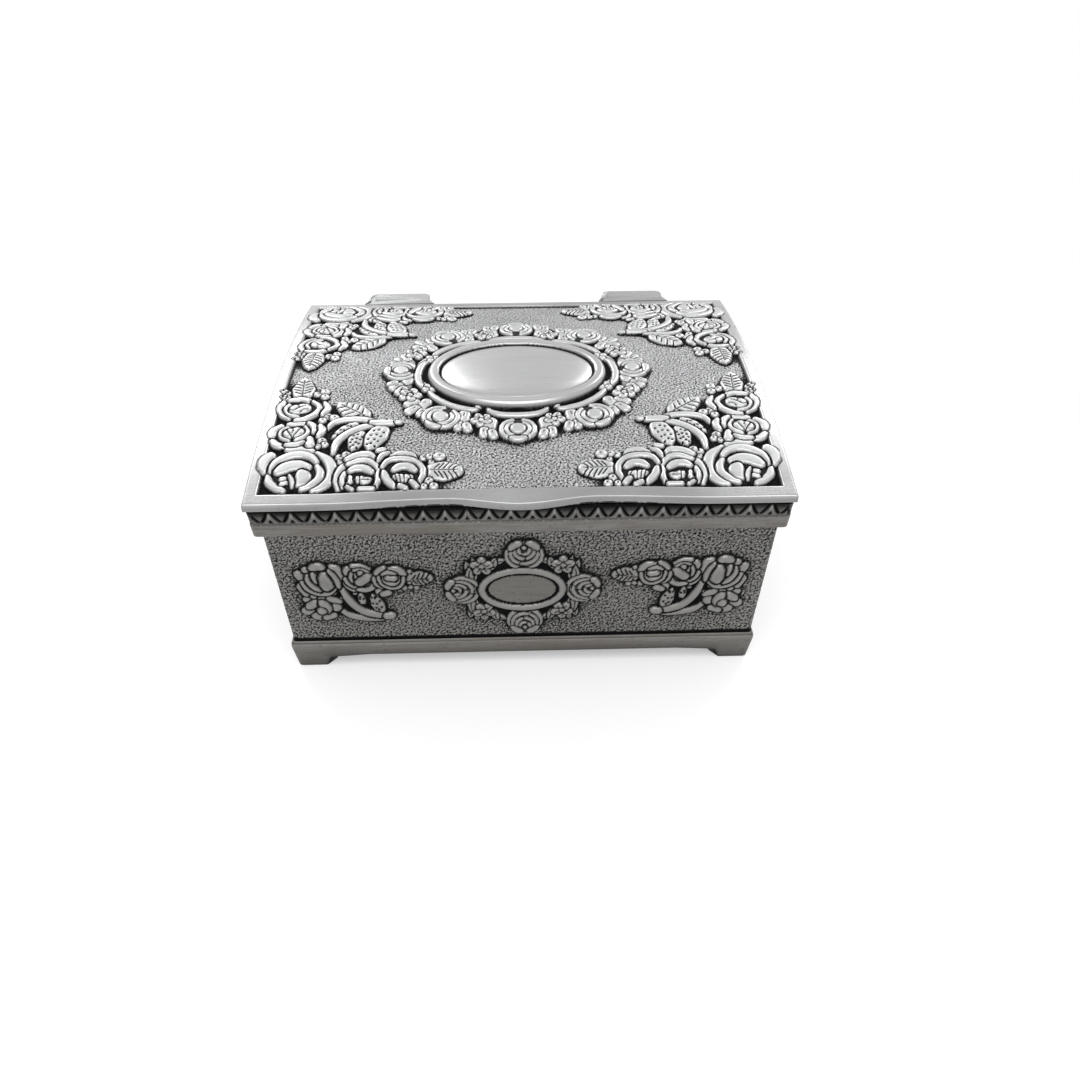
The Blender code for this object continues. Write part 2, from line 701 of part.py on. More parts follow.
def make_base(metal):
    sections = [
        inset_section(BASE_FOOT_INSET, 0),
        inset_section(BASE_BULGE_INSET, BASE_HEIGHT - BASE_BULGE_DROP),
        inset_section(BASE_TOP_INSET, BASE_HEIGHT),
    ]
    base = add_object("base_casting", loft(sections), metal)
    half_x = LID_WIDTH / 2
    half_y = LID_DEPTH / 2
    ledge = BASE_TOP_INSET + TRAY_LEDGE
    tray = [inset_section(ledge, z) for z in (FLOOR_TOP_Z, BASE_HEIGHT + CUT_OVERRUN)]
    legs = BASE_FOOT_INSET + FOOT_THICKNESS
    under = [inset_section(legs, z) for z in (-CUT_OVERRUN, APRON_CLEARANCE)]
    front = prism(
        apron_outline(half_x - BASE_FOOT_INSET),
        "Y",
        MIDDLE_Y - half_y - CUT_OVERRUN,
        MIDDLE_Y + half_y + CUT_OVERRUN,
    )
    sides = prism(
        apron_outline(half_y - BASE_FOOT_INSET), "X", -half_x - CUT_OVERRUN, half_x + CUT_OVERRUN
    )
    combine(
        base,
        "DIFFERENCE",
        add_object("base_tray_cut", loft(tray)),
        add_object("base_under_cut", loft(under)),
        add_object("base_arch_front_cut", front),
        add_object("base_arch_side_cut", sides),
    )


# The linings


def wall_panel(side, outer_gap, thickness, foot_z):
    """A flat lining panel with mitred ends, leaning with the wall it lies against."""
    bm = bmesh.new()
    bmesh.ops.create_cube(bm, size=2)
    top_z = BODY_HEIGHT - LINING_BELOW_RIM
    for vert in bm.verts:
        along, out, up = vert.co
        z = top_z if up > 0 else foot_z
        inset = inner_inset(z) + outer_gap + (0 if out > 0 else thickness)
        half_x = LID_WIDTH / 2 - inset
        half_y = LID_DEPTH / 2 - inset
        if side in ("front", "back"):
            sign = -1 if side == "front" else 1
            vert.co = (along * (half_x - SEAT_GAP), MIDDLE_Y + sign * half_y, z)
        else:
            sign = -1 if side == "left" else 1
            vert.co = (sign * half_x, MIDDLE_Y + along * (half_y - SEAT_GAP), z)
    return bm


def make_linings(card, velvet):
    foot_z = FLOOR_TOP_Z + SEAT_GAP
    for side in ("front", "back", "left", "right"):
        panel = wall_panel(side, SEAT_GAP, CARD_THICKNESS, foot_z)
        add_object(f"{side}_lining_card", panel, card)
        velvet_gap = CARD_THICKNESS + 2 * SEAT_GAP
        panel = wall_panel(side, velvet_gap, VELVET_THICKNESS, foot_z)
        add_object(f"{side}_lining_velvet", panel, velvet)
    margin = inner_inset(foot_z) + velvet_gap + VELVET_THICKNESS + SEAT_GAP
    half_x = LID_WIDTH / 2 - margin
    half_y = LID_DEPTH / 2 - margin
    card_top = foot_z + CARD_THICKNESS
    velvet_foot = card_top + SEAT_GAP
    velvet_top = velvet_foot + FLOOR_VELVET_THICKNESS
    for name, low, high, material in (
        ("floor_card", foot_z, card_top, card),
        ("floor_velvet", velvet_foot, velvet_top, velvet),
    ):
        slab = box((-half_x, MIDDLE_Y - half_y, low), (half_x, MIDDLE_Y + half_y, high))
        add_object(name, slab, material)


def hang_on_hinge(names):
    """Parents what moves to an empty on the pins' axis."""
    hinge = bpy.data.objects.new("lid_hinge_axis", None)
    hinge.location = (0, PIN_Y, PIN_Z)
    hinge.empty_display_size = KNUCKLE_LENGTH
    BOX.objects.link(hinge)
    bpy.context.view_layer.update()
    for name in names:
        obj = bpy.data.objects[name]
        obj.parent = hinge
        obj.matrix_parent_inverse = hinge.matrix_world.inverted()


clear_scene()
BOX = make_collection("trinket_box")
CUTTERS = make_collection("cutters")
pewter = make_material("antique_pewter", PEWTER)
steel = make_material("pin_steel", STEEL)
card = make_material("lining_card", CARD)
velvet = make_material("black_velvet", VELVET)
make_base(pewter)
make_walls(pewter)
make_pins(steel)
make_linings(card, velvet)
make_lid(pewter)
make_lid_lining(card, velvet)
hang_on_hinge(("lid_casting", "lid_lining_card", "lid_lining_velvet", "hinge_pin_left", "hinge_pin_right"))
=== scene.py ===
"""Antiqued metal trinket box with rose reliefs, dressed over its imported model.

Lengths in the tables are millimetres: on the lid from its middle, on a wall from its middle line and the
table. The scene itself is in metres.
"""

import math

import bmesh
import bpy
import numpy as np
from mathutils import Matrix, Vector


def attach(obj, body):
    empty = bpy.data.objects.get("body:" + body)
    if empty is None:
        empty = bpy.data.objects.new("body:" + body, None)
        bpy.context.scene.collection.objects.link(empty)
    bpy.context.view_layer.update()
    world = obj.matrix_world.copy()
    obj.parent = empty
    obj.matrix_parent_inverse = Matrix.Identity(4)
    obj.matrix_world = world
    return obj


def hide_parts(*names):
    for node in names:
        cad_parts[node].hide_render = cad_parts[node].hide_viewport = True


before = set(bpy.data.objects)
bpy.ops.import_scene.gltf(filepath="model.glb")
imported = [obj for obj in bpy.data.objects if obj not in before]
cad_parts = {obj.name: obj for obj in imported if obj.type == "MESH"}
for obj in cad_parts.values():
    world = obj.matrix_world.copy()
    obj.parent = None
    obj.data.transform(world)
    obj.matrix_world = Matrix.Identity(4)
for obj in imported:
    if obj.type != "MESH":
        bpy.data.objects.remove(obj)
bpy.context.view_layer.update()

MM = 0.001
MIDDLE_Y = -2.35  # the lid's middle, in millimetres from the frame's origin

# Sizes shared with the solid model
LID_HALF_X = 60.0
LID_HALF_Y = 49.5
LID_SEAT_Z = 50.5
LID_EDGE = 2.0
LID_ARCH = 4.3
RIM_SIDE = 2.8
RIM_FRONT = 3.3
FIELD_SINK = 0.9
LID_PLATE = 1.4
LID_SEAT = 4.4
LID_FOOT_ROUND = 0.25
LIP_REACH = 1.1
LIP_RECESS = 1.1
LIP_HALF_WIDTH = 16.5
RECESS_LENGTH = 28.0
BODY_HEIGHT = 50.2
TOOTH_HEIGHT = 3.7
BAND_HEIGHT = 3.3
SHELF_Z = BODY_HEIGHT - TOOTH_HEIGHT - BAND_HEIGHT
WALL_FOOT_Z = 8.9
WALL_TOP_INSET = 2.3
WALL_FOOT_INSET = 3.9
WALL_THICKNESS = 2.2
BAND_FOOT_INSET = 0.8
TOOTH_FOOT_INSET = 0.55
MOULDING_TOP_INSET = 0.15
CORNER_RADIUS = 1.0
BASE_HEIGHT = 8.6
BASE_TOP_INSET = 3.6
BASE_BULGE_INSET = 3.15
BASE_BULGE_DROP = 2.0
BASE_FOOT_INSET = 4.0
FLOOR_TOP_Z = 6.2
APRON_CLEARANCE = 3.9
APRON_SHOULDER = 3.1
FOOT_LENGTH = 7.2
FOOT_STEP = 1.4
SHOULDER_LENGTH = 10.0
FOOT_THICKNESS = 2.4
TRAY_LEDGE = 2.7

# Fineness of the cast surfaces, how high their grains stand, and the seeds of the grains
LID_PITCH = 0.2
WALL_PITCH = 0.25
BASE_PITCH = 0.4
LID_GRAIN = 0.075
WALL_GRAIN = 0.045
LID_SEED = 11
WALL_SEED = 23
WALL_GRAIN_SHARE = 0.88  # below 1 makes the walls' grains coarser than the lid's

# How dark plain places are, from 0 for polished to 1 for black
# painted shade on the lid's upright edge and the faces below it
LID_EDGE_SHADE_TONE = 0.46
PLAQUE_TONE = 0.2
HINGE_TONE = 0.42
CARTOUCHE_TONE = 0.32
BAND_TONE = 0.22
LEDGE_TONE = 0.7
# black of the patina along the foot of the lid's rim, and painted shade where the lid covers the moulding
CREVICE_PATINA_AND_SHADE_TONE = 0.95
INSIDE_TONE = 0.4
WALL_SPECKLE = 0.44  # how far the walls' grains darken their pits
POLISHED_TONE = 0.5  # plain places of the base below this are brushed


# Shader expressions


def feed(tree, socket, value):
    if isinstance(value, Sock):
        tree.links.new(value.socket, socket)
    else:
        socket.default_value = value


class Sock:
    """One value in a node tree. Arithmetic on it adds Math nodes."""

    def __init__(self, tree, socket):
        self.tree = tree
        self.socket = socket

    def node(self, kind, settings=None, out=0, **values):
        """Adds a node: its settings, then values or links of its sockets, by name or by number as _0, _1."""
        made = self.tree.nodes.new("ShaderNode" + kind)
        for key, value in (settings or {}).items():
            if key == "stops":
                ramp = made.color_ramp
                while len(ramp.elements) < len(value):
                    ramp.elements.new(0.5)
                for element, (place, colour) in zip(ramp.elements, value):
                    element.position = place
                    element.color = (*colour, 1)
            else:
                setattr(made, key, value)
        for key, value in values.items():
            which = int(key[1:]) if key[0] == "_" else key.replace("_", " ")
            feed(self.tree, made.inputs[which], value)
        return Sock(self.tree, made.outputs[out])

    def maths(self, operation, *terms, clamp=False):
        values = {f"_{number}": term for number, term in enumerate(terms)}
        return self.node("Math", {"operation": operation, "use_clamp": clamp}, **values)

    def __add__(self, other):
        return self.maths("ADD", self, other)

    def __sub__(self, other):
        return self.maths("SUBTRACT", self, other)

    def __rsub__(self, other):
        return self.maths("SUBTRACT", other, self)

    def __mul__(self, other):
        return self.maths("MULTIPLY", self, other)

    __radd__ = __add__
    __rmul__ = __mul__

    def clamp(self):
        return self.maths("ADD", self, 0.0, clamp=True)

    def above(self, low, high):
        """0 below low, 1 above high, smooth between."""
        settings = {"interpolation_type": "SMOOTHSTEP"}
        return self.node("MapRange", settings, Value=self, From_Min=low, From_Max=high)

    def between(self, low, high):
        """Mixes two numbers by this value."""
        return self * (high - low) + low

    def blend(self, first, second):
        """Mixes two colours by this value."""
        ends = [(*end, 1) if isinstance(end, tuple) else end for end in (first, second)]
        return self.node("Mix", {"data_type": "RGBA"}, out=2, _0=self, _6=ends[0], _7=ends[1])


class Finish:
    """A Principled material whose changing inputs are expressions."""

    def __init__(self, name):
        self.material = bpy.data.materials.new(name)
        self.material.use_nodes = True
        self.tree = self.material.node_tree
        self.shader = self.tree.nodes["Principled BSDF"]
        self.start = Sock(self.tree, None)
        self.place = self.start.node("TexCoord", out="Object")

    def attribute(self, name):
        return self.start.node("Attribute", {"attribute_name": name}, out="Fac")

    def stretched(self, scale):
        return self.start.node("Mapping", Vector=self.place, Scale=scale)

    def noise(self, scale, detail, roughness=0.55, place=None):
        values = {"Vector": place or self.place, "Scale": scale, "Detail": detail, "Roughness": roughness}
        return self.start.node("TexNoise", **values)

    def set(self, **values):
        for key, value in values.items():
            feed(self.tree, self.shader.inputs[key.replace("_", " ")], value)
        return self.material

    def bump(self, height, distance, strength):
        return self.start.node("Bump", Strength=strength, Distance=distance, Height=height)


def pewter(name, bright, middle, warm, polish, streak):
    """Cast white metal: polished where tarnish is 0, grey at a half and black in the recesses.
    That value holds patina and painted shade together.
    """
    finish = Finish(name)
    tarnish = finish.attribute("tarnish")
    brushed = finish.attribute("brushed")
    grain = finish.noise(2600, 2.0)
    cloud = finish.noise(55, 3.0)
    strokes = finish.noise(1.0, 4.0, 0.7, finish.stretched((90, 2600, 2600)))
    fine = finish.noise(1.0, 2.0, 0.6, finish.stretched((260, 7000, 7000)))
    lines = (strokes * 0.6 + fine * 0.4).above(0.36, 0.64)
    fleck = finish.noise(850, 2.0).above(0.6, 0.7) * brushed * (0.16 * streak)
    depth = (tarnish + fleck + (cloud - 0.5) * 0.2 + (grain - 0.5) * 0.16 * (1 - brushed)).clamp()
    stops = [
        (0.0, bright),
        (0.22, tuple(0.78 * b + 0.22 * m for b, m in zip(bright, middle))),
        (0.5, middle),
        (0.76, tuple(0.14 * m for m in middle)),
        (1.0, (0.005, 0.005, 0.006)),
    ]
    colour = finish.start.node("ValToRGB", {"stops": stops}, Fac=depth)
    shade = (brushed * (1 - lines) * streak).clamp()
    colour = shade.blend(colour, tuple(0.52 * c * w for c, w in zip(bright, warm)))
    stain = finish.noise(1.0, 3.0, 0.6, finish.stretched((28, 240, 240)))
    stain = stain.above(0.48, 0.64) * brushed * (0.5 * streak)
    colour = stain.blend(colour, tuple(0.46 * c * w * w for c, w in zip(bright, warm)))
    rough = depth.between(0.34, 0.8) * (1 - brushed * polish) + lines * brushed * 0.06
    relief = lines * brushed * 0.35 + grain * (1 - brushed) * 0.65
    return finish.set(
        Base_Color=colour,
        Roughness=rough,
        Metallic=(1 - depth * 0.35).clamp(),
        Specular_IOR_Level=0.15,
        Normal=finish.bump(relief, 0.00003, 0.55),
    )


def velvet_finish():
    finish = Finish("black_velvet_pile")
    pile = finish.noise(3800, 2.0, 0.7)
    stroked = finish.noise(38, 4.0, 0.6)
    tone = (pile * 0.5 + stroked * 0.5).above(0.38, 0.66)
    return finish.set(
        Base_Color=tone.blend((0.006, 0.006, 0.008), (0.035, 0.034, 0.04)),
        Roughness=0.95,
        Normal=finish.bump(pile, 0.0002, 0.8),
        Sheen_Weight=0.35,
        Sheen_Roughness=0.45,
        Sheen_Tint=(0.55, 0.55, 0.62, 1),
    )


def card_finish():
    finish = Finish("lining_board")
    fibre = finish.noise(1.0, 4.0, 0.7, finish.stretched((900, 2600, 900)))
    fleck = finish.noise(700, 2.0).above(0.6, 0.72)
    colour = fibre.blend((0.03, 0.029, 0.03), (0.065, 0.063, 0.062))
    colour = fleck.blend(colour, (0.11, 0.105, 0.1))
    return finish.set(Base_Color=colour, Roughness=0.88, Normal=finish.bump(fibre, 0.00008, 0.6))


def pin_finish():
    finish = Finish("drawn_steel_pin")
    drawn = finish.noise(1.0, 3.0, 0.6, finish.stretched((150, 5200, 5200)))
    return finish.set(
        Base_Color=drawn.blend((0.42, 0.42, 0.43), (0.62, 0.62, 0.63)),
        Roughness=drawn.between(0.26, 0.42),
        Metallic=1.0,
        Normal=finish.bump(drawn, 0.00002, 0.4),
    )


# Relief drawn on an even grid

PETAL_END = 0.68  # long petals narrow to this share of their width
AS_DRAWN = [(1, 1, 0, 0)]  # a pattern that is neither mirrored nor moved


def smooth_step(low, high, value):
    share = np.clip((value - low) / (high - low), 0, 1)
    return share * share * (3 - 2 * share)


def through(knots, spacing=0.25):
    """Points along a smooth curve through the given ones, and how far along it each lies."""
    if len(knots) == 1:
        return knots, np.zeros(1)
    padded = np.vstack([2 * knots[0] - knots[1], knots, 2 * knots[-1] - knots[-2]])
    found = []
    for a, b, c, d in zip(padded, padded[1:], padded[2:], padded[3:]):
        count = max(2, int(np.hypot(*(c - b)[:2]) / spacing))
        for step in range(count):
            t = step / count
            square = (2 * a - 5 * b + 4 * c - d) * t**2
            cube = (3 * b - a - 3 * c + d) * t**3
            found.append(0.5 * (2 * b + (c - a) * t + square + cube))
    found.append(knots[-1])
    found = np.array(found)
    steps = np.hypot(*np.diff(found[:, :2], axis=0).T)
    along = np.concatenate([[0], np.cumsum(steps)])
    return found, along / max(along[-1], 1e-9)


def arc(centre, radius, start, end, count=7):
    """Points on an arc; angles in degrees."""
    turns = np.radians(np.linspace(start, end, count))
    return [(centre[0] + radius * math.cos(t), centre[1] + radius * math.sin(t)) for t in turns]


class Relief:
    """A patch of cast relief on a grid of places u, v: heights above the ground in millimetres, and the
    black that stays in the cuts, with painted shade along the edges of what stands."""

    def __init__(self, us, vs):
        self.us = us
        self.vs = vs
        self.pitch = us[1] - us[0]
        self.height = np.zeros((len(vs), len(us)))
        self.ink_and_shade = np.zeros_like(self.height)
        self.mirrors = AS_DRAWN

    def reached(self, points, half):
        """For each mirror image of a stroke: its window, distance from the middle line and half width."""
        knots = np.array(points, float).reshape(-1, 2)
        line, along = through(knots)
        if callable(half):
            halves = half(along)
        else:
            end = 1.0 if len(knots) < 3 else PETAL_END
            halves = half * np.interp(along, (0, 0.24, 0.76, 1), (end, 1, 1, end))
        margin = halves.max() + 0.8
        for sign_u, sign_v, shift_u, shift_v in self.mirrors:
            image = line * (sign_u, sign_v) + (shift_u, shift_v)
            reach_u, reach_v = np.stack([image.min(0) - margin, image.max(0) + margin], -1)
            columns = slice(*np.searchsorted(self.us, reach_u))
            rows = slice(*np.searchsorted(self.vs, reach_v))
            us = self.us[columns]
            vs = self.vs[rows]
            if not len(us) or not len(vs):
                continue
            away = np.hypot(us[None, :, None] - image[:, 0], vs[:, None, None] - image[:, 1])
            nearest = np.argmin(away - halves, axis=2)
            gap = np.take_along_axis(away, nearest[..., None], 2)[..., 0]
            yield (rows, columns), gap, halves[nearest]

    def raise_stroke(self, points, half, height, groove=0.48, square=4.6, foot=0.6):
        """A ridge with a rounded top and a narrow black groove round it, over whatever is there already."""
        for where, gap, wide in self.reached(points, half):
            inside = gap < wide
            dome = (1 - np.clip(gap / np.maximum(wide, 1e-6), 0, 1) ** square) ** 0.5
            outside = np.clip((gap - wide) / groove, 0, 1)
            kept = self.height[where] * (0.12 + 0.88 * outside**0.8)
            self.height[where] = np.where(inside, height * (foot + (1 - foot) * dome), kept)
            # painted shade darkening the stroke's own edge
            edge_shade = 0.42 * smooth_step(-0.2, 0.0, gap - wide)
            near = smooth_step(1.0, 0.55, outside)
            self.ink_and_shade[where] = np.where(inside, edge_shade, np.maximum(self.ink_and_shade[where], near))

    def bed(self, u, v, half_u, half_v, height, tone):
        """A low oval pad that joins the petals standing on it."""
        for sign_u, sign_v, shift_u, shift_v in self.mirrors:
            middle_u = sign_u * u + shift_u
            middle_v = sign_v * v + shift_v
            reach = np.hypot((self.us[None, :] - middle_u) / half_u, (self.vs[:, None] - middle_v) / half_v)
            pad = np.maximum(self.height, height * smooth_step(1.0, 0.9, reach))
            self.inlay(reach < 1, pad, np.maximum(self.ink_and_shade, tone))

    def inlay(self, inside, height, ink_and_shade):
        """Takes a new height and black where a mask holds."""
        self.height = np.where(inside, height, self.height)
        self.ink_and_shade = np.where(inside, ink_and_shade, self.ink_and_shade)

    def incise(self, points, half, depth):
        """A fine cut line."""
        for where, gap, wide in self.reached(points, half):
            share = np.clip(1 - gap / wide, 0, 1)
            self.height[where] -= depth * share**0.7
            self.ink_and_shade[where] = np.maximum(self.ink_and_shade[where], smooth_step(0.0, 0.55, share))

    def pit(self, u, v, radius, depth):
        self.incise((u, v), radius, depth)

    def ball(self, u, v, radius, height):
        self.raise_stroke((u, v), radius, height, groove=0.28, square=2.2)


def oval_gap(u, v, half_u, half_v):
    """Distance from the edge of an oval, below zero inside it."""
    reach = np.sqrt((u / half_u) ** 2 + (v / half_v) ** 2) + 1e-9
    slope = np.sqrt((u / half_u**2) ** 2 + (v / half_v**2) ** 2) / reach + 1e-9
    return (reach - 1) / slope


def leaf_width(widest):
    return lambda along: widest * np.interp(along, (0, 0.18, 0.42, 0.75, 1), (0.45, 0.86, 1, 0.66, 0.07))


def leaf(relief, base, tip, widest, height, veins, dots=0):
    """A pointed leaf with a cut midrib and side veins, or with punched dots."""
    start = np.array(base, float)
    run = np.array(tip, float) - start
    unit = run / np.hypot(*run)
    side = np.array([-unit[1], unit[0]])
    spread = leaf_width(widest)
    relief.raise_stroke([base, tip], spread, height, square=4.0)
    if veins:
        relief.incise([tuple(start + run * 0.04), tuple(start + run * 0.84)], 0.2, 0.3)
    for number in range(veins):
        share = 0.14 + 0.58 * number / max(veins - 1, 1)
        root = start + run * share
        for sign in (-1, 1):
            near = root + sign * side * spread(share) * 0.18
            out = root + sign * side * spread(share) * 0.84 + unit * widest * 0.34
            relief.incise([tuple(near), tuple(out)], 0.27, 0.36)
    for number in range(dots):
        share = 0.2 + 0.56 * number / max(dots - 1, 1)
        root = start + run * share
        for sign in (-1, 0, 1):
            lean = ((number * 7 + sign * 3) % 5 - 2) * 0.09
            place = root + sign * side * spread(share) * 0.52 + unit * (0.45 * abs(sign) + lean)
            relief.pit(place[0] + lean, place[1], 0.44, 0.55)


def blossom(relief, u, v, radius, height, turn=90.0):
    """A small open flower of five petals."""
    for petal in range(5):
        angle = math.radians(turn + 72 * petal)
        near = (u + 0.42 * radius * math.cos(angle), v + 0.42 * radius * math.sin(angle))
        far = (u + 0.66 * radius * math.cos(angle), v + 0.66 * radius * math.sin(angle))
        relief.raise_stroke([near, far], radius * 0.38, height, groove=0.26)
        relief.incise([near, far], 0.2, 0.2)
    relief.ball(u, v, radius * 0.26, height * 0.95)


ROSE_HEIGHT = 1.15
PETAL_RINGS = [
    # share of the rose's radius, half width as a share of it, share of its height, turn of the split
    (1.0, 0.125, 0.8, 14), (0.76, 0.12, 0.88, -16), (0.52, 0.115, 0.95, 14), (0.3, 0.1, 1.0, -16),
]


def cabbage_rose(relief, u, v, radius, towards):
    """A full rose seen from the side: petals nested round a bud near the edge that it faces."""
    face = math.radians(towards)
    relief.raise_stroke([(u, v)], radius * 0.9, ROSE_HEIGHT * 0.55, square=8.0)
    for share, wide, level, turn in PETAL_RINGS:
        back = (1 - share) * 0.52 * radius
        middle = (u + back * math.cos(face), v + back * math.sin(face))
        split = towards + 180 + turn
        reach = 128 - 34 * (1 - share)
        for start, end in ((towards + 180 - reach, split - 3), (split + 3, towards + 180 + reach)):
            line = arc(middle, radius * share * 0.86, start, end)
            relief.raise_stroke(line, radius * wide, ROSE_HEIGHT * level, groove=0.24)
    bud = (u + 0.5 * radius * math.cos(face), v + 0.5 * radius * math.sin(face))
    relief.ball(*bud, radius * 0.13, ROSE_HEIGHT)
    for side in (-1, 1):
        line = arc((u, v), radius * 0.82, towards + side * 14, towards + side * 54, 4)
        relief.raise_stroke(line, radius * 0.2, ROSE_HEIGHT * 0.92, groove=0.28)


WREATH_ROSE_HEIGHT = 1.5
CRESCENTS = [
    # share of the rose's radius, half width as a share of it, near end, far end, share of its height
    (0.86, 0.185, 34, 160, 0.82), (0.6, 0.14, 20, 150, 0.9),
]


def wreath_rose(relief, u, v, radius, outward):
    """A rose with a smooth flat heart, crescents beside it and one broad petal on its outer side."""
    height = WREATH_ROSE_HEIGHT
    relief.bed(u, v, radius * 0.94, radius * 0.94, height * 0.6, 0.8)
    for share, wide, near, far, level in CRESCENTS:
        for side in (-1, 1):
            line = arc((u, v), radius * share, outward + side * near, outward + side * far, 8)
            relief.raise_stroke(line, radius * wide, height * level, groove=0.22)
    line = arc((u, v), radius * 0.82, outward - 26, outward + 26, 6)
    relief.raise_stroke(line, radius * 0.21, height * 0.88, groove=0.28)
    relief.raise_stroke([(u, v)], radius * 0.44, height, groove=0.3, square=9.0, foot=0.8)


# Lid ornament: one corner spray, drawn for the front left corner and mirrored to the other three

SPRAY_STROKES = [
    # rows hold half width, height, then the places along the middle line; stems and their cut end
    (0.8, 1.1, -44.6, -22.9, -43.4, -20.9, -40.8, -19.7, -37.0, -19.6, -33.2, -20.7, -29.2, -21.3),
    (0.85, 1.15, -42.3, -32.2, -41.9, -28.5, -40.0, -25.4, -37.0, -23.1, -33.2, -21.5),
    (0.95, 1.2, -34.6, -21.1, -31.2, -21.3, -28.9, -21.2), (0.6, 1.1, -28.6, -21.1, -28.0, -21.0),
    # saddle between the corner rose and the roses above it
    (1.25, 0.85, -52.6, -30.4, -50.0, -30.6, -47.4, -31.0),
    # corner rose
    (1.45, 1.3, -56.0, -32.9, -57.0, -35.2, -56.5, -38.0),
    (0.9, 1.1, -55.7, -39.8, -55.0, -41.8, -53.2, -43.4, -51.7, -44.2),
    (1.1, 1.1, -45.7, -32.4, -43.1, -34.6, -41.9, -38.0, -42.2, -41.4, -43.8, -43.6, -45.3, -44.2),
    (0.85, 1.2, -45.3, -36.5, -44.3, -38.7, -44.5, -41.0, -46.2, -43.0, -47.8, -44.0),
    (1.0, 1.3, -55.2, -38.1, -54.5, -35.5, -52.3, -33.4, -49.6, -32.7, -47.1, -33.5, -45.6, -35.2),
    (1.45, 1.25, -53.6, -38.4, -52.0, -36.9, -50.0, -36.3, -47.4, -36.9),
    (1.55, 1.2, -48.4, -38.9, -47.9, -40.2, -48.8, -42.0), (0.55, 1.05, -52.6, -40.6, -51.4, -40.2),
    (0.5, 1.05, -52.4, -42.2, -51.0, -41.6), (0.5, 1.15, -51.0, -39.4, -50.2, -41.2, -49.9, -43.2),
    # second rose on the long side
    (0.75, 1.0, -39.9, -44.0, -40.5, -40.6, -39.8, -37.2, -38.2, -35.3),
    (0.9, 1.1, -39.0, -34.4, -36.6, -33.0, -34.2, -32.7, -33.1, -33.6),
    (0.75, 1.2, -38.5, -36.2, -35.6, -34.9, -33.2, -35.6, -31.8, -38.0, -31.3, -40.7, -31.7, -43.3),
    (0.55, 1.1, -38.9, -43.5, -39.3, -41.0, -38.8, -38.6),
    (0.95, 1.3, -37.7, -38.4, -36.4, -37.6, -34.6, -37.7, -33.0, -38.9),
    (0.55, 1.1, -37.6, -40.1, -37.3, -41.6, -37.9, -42.5),
    (1.05, 1.12, -35.9, -40.9, -34.5, -41.4, -33.5, -41.2), (0.5, 1.05, -37.9, -43.3, -36.8, -44.1),
    (0.55, 1.1, -35.2, -44.0, -32.4, -44.0),
    # third rose on the long side
    (0.6, 1.0, -31.9, -35.0, -31.2, -33.1, -29.8, -32.2), (0.6, 0.95, -32.3, -31.3, -31.0, -30.9),
    (0.85, 1.05, -28.9, -33.6, -26.9, -32.7, -24.6, -33.2, -23.8, -34.2),
    (0.85, 1.1, -30.3, -38.8, -29.6, -41.0, -27.8, -43.4),
    (0.75, 1.2, -30.8, -37.2, -29.6, -35.2, -27.0, -34.5, -24.1, -35.2, -22.2, -37.2, -21.6, -39.8, -22.4,
     -42.2),
    (0.98, 1.3, -28.1, -38.3, -26.8, -37.3, -25.0, -37.3, -23.5, -38.5),
    (1.0, 1.12, -27.5, -40.3, -25.9, -40.9, -24.4, -40.6), (0.65, 1.1, -26.4, -43.2, -25.2, -44.0),
    (0.65, 1.1, -23.9, -42.0, -22.9, -43.4),
    # lower rose on the short side
    (0.9, 1.0, -55.4, -21.8, -56.9, -23.8, -57.0, -26.0),
    (0.9, 1.0, -56.6, -27.4, -55.5, -28.9, -53.8, -29.4),
    (0.8, 1.0, -53.9, -21.3, -51.0, -20.7, -49.4, -20.9),
    (0.85, 1.15, -49.1, -21.0, -47.9, -22.4, -47.7, -24.4),
    (0.8, 1.05, -46.4, -21.8, -45.8, -23.8, -46.4, -26.0), (1.0, 1.1, -48.4, -27.0, -47.9, -29.0),
    (0.7, 1.05, -53.4, -29.0, -51.0, -28.8, -49.6, -27.8),
    (0.6, 1.15, -53.8, -22.6, -55.1, -24.4, -54.6, -26.4, -52.9, -27.6),
    (0.6, 1.15, -51.4, -27.4, -49.8, -26.2, -49.2, -24.2, -49.8, -22.4),
    (1.5, 1.22, -52.9, -24.9, -51.5, -24.4),
    # upper rose on the short side
    (0.75, 1.05, -56.3, -11.6, -56.9, -14.4, -56.0, -17.4, -54.2, -19.0),
    (0.8, 1.05, -55.2, -11.3, -52.0, -10.9, -49.6, -12.2),
    (0.75, 1.15, -49.4, -12.1, -47.5, -14.4, -48.2, -17.2, -50.4, -19.2, -52.6, -19.8),
    (0.75, 1.0, -46.6, -12.4, -45.6, -14.8, -46.6, -17.4),
    (0.6, 1.1, -54.9, -13.2, -55.4, -15.2, -54.2, -17.4, -52.2, -18.2),
    (1.62, 1.22, -52.9, -15.3, -51.3, -14.9),
]
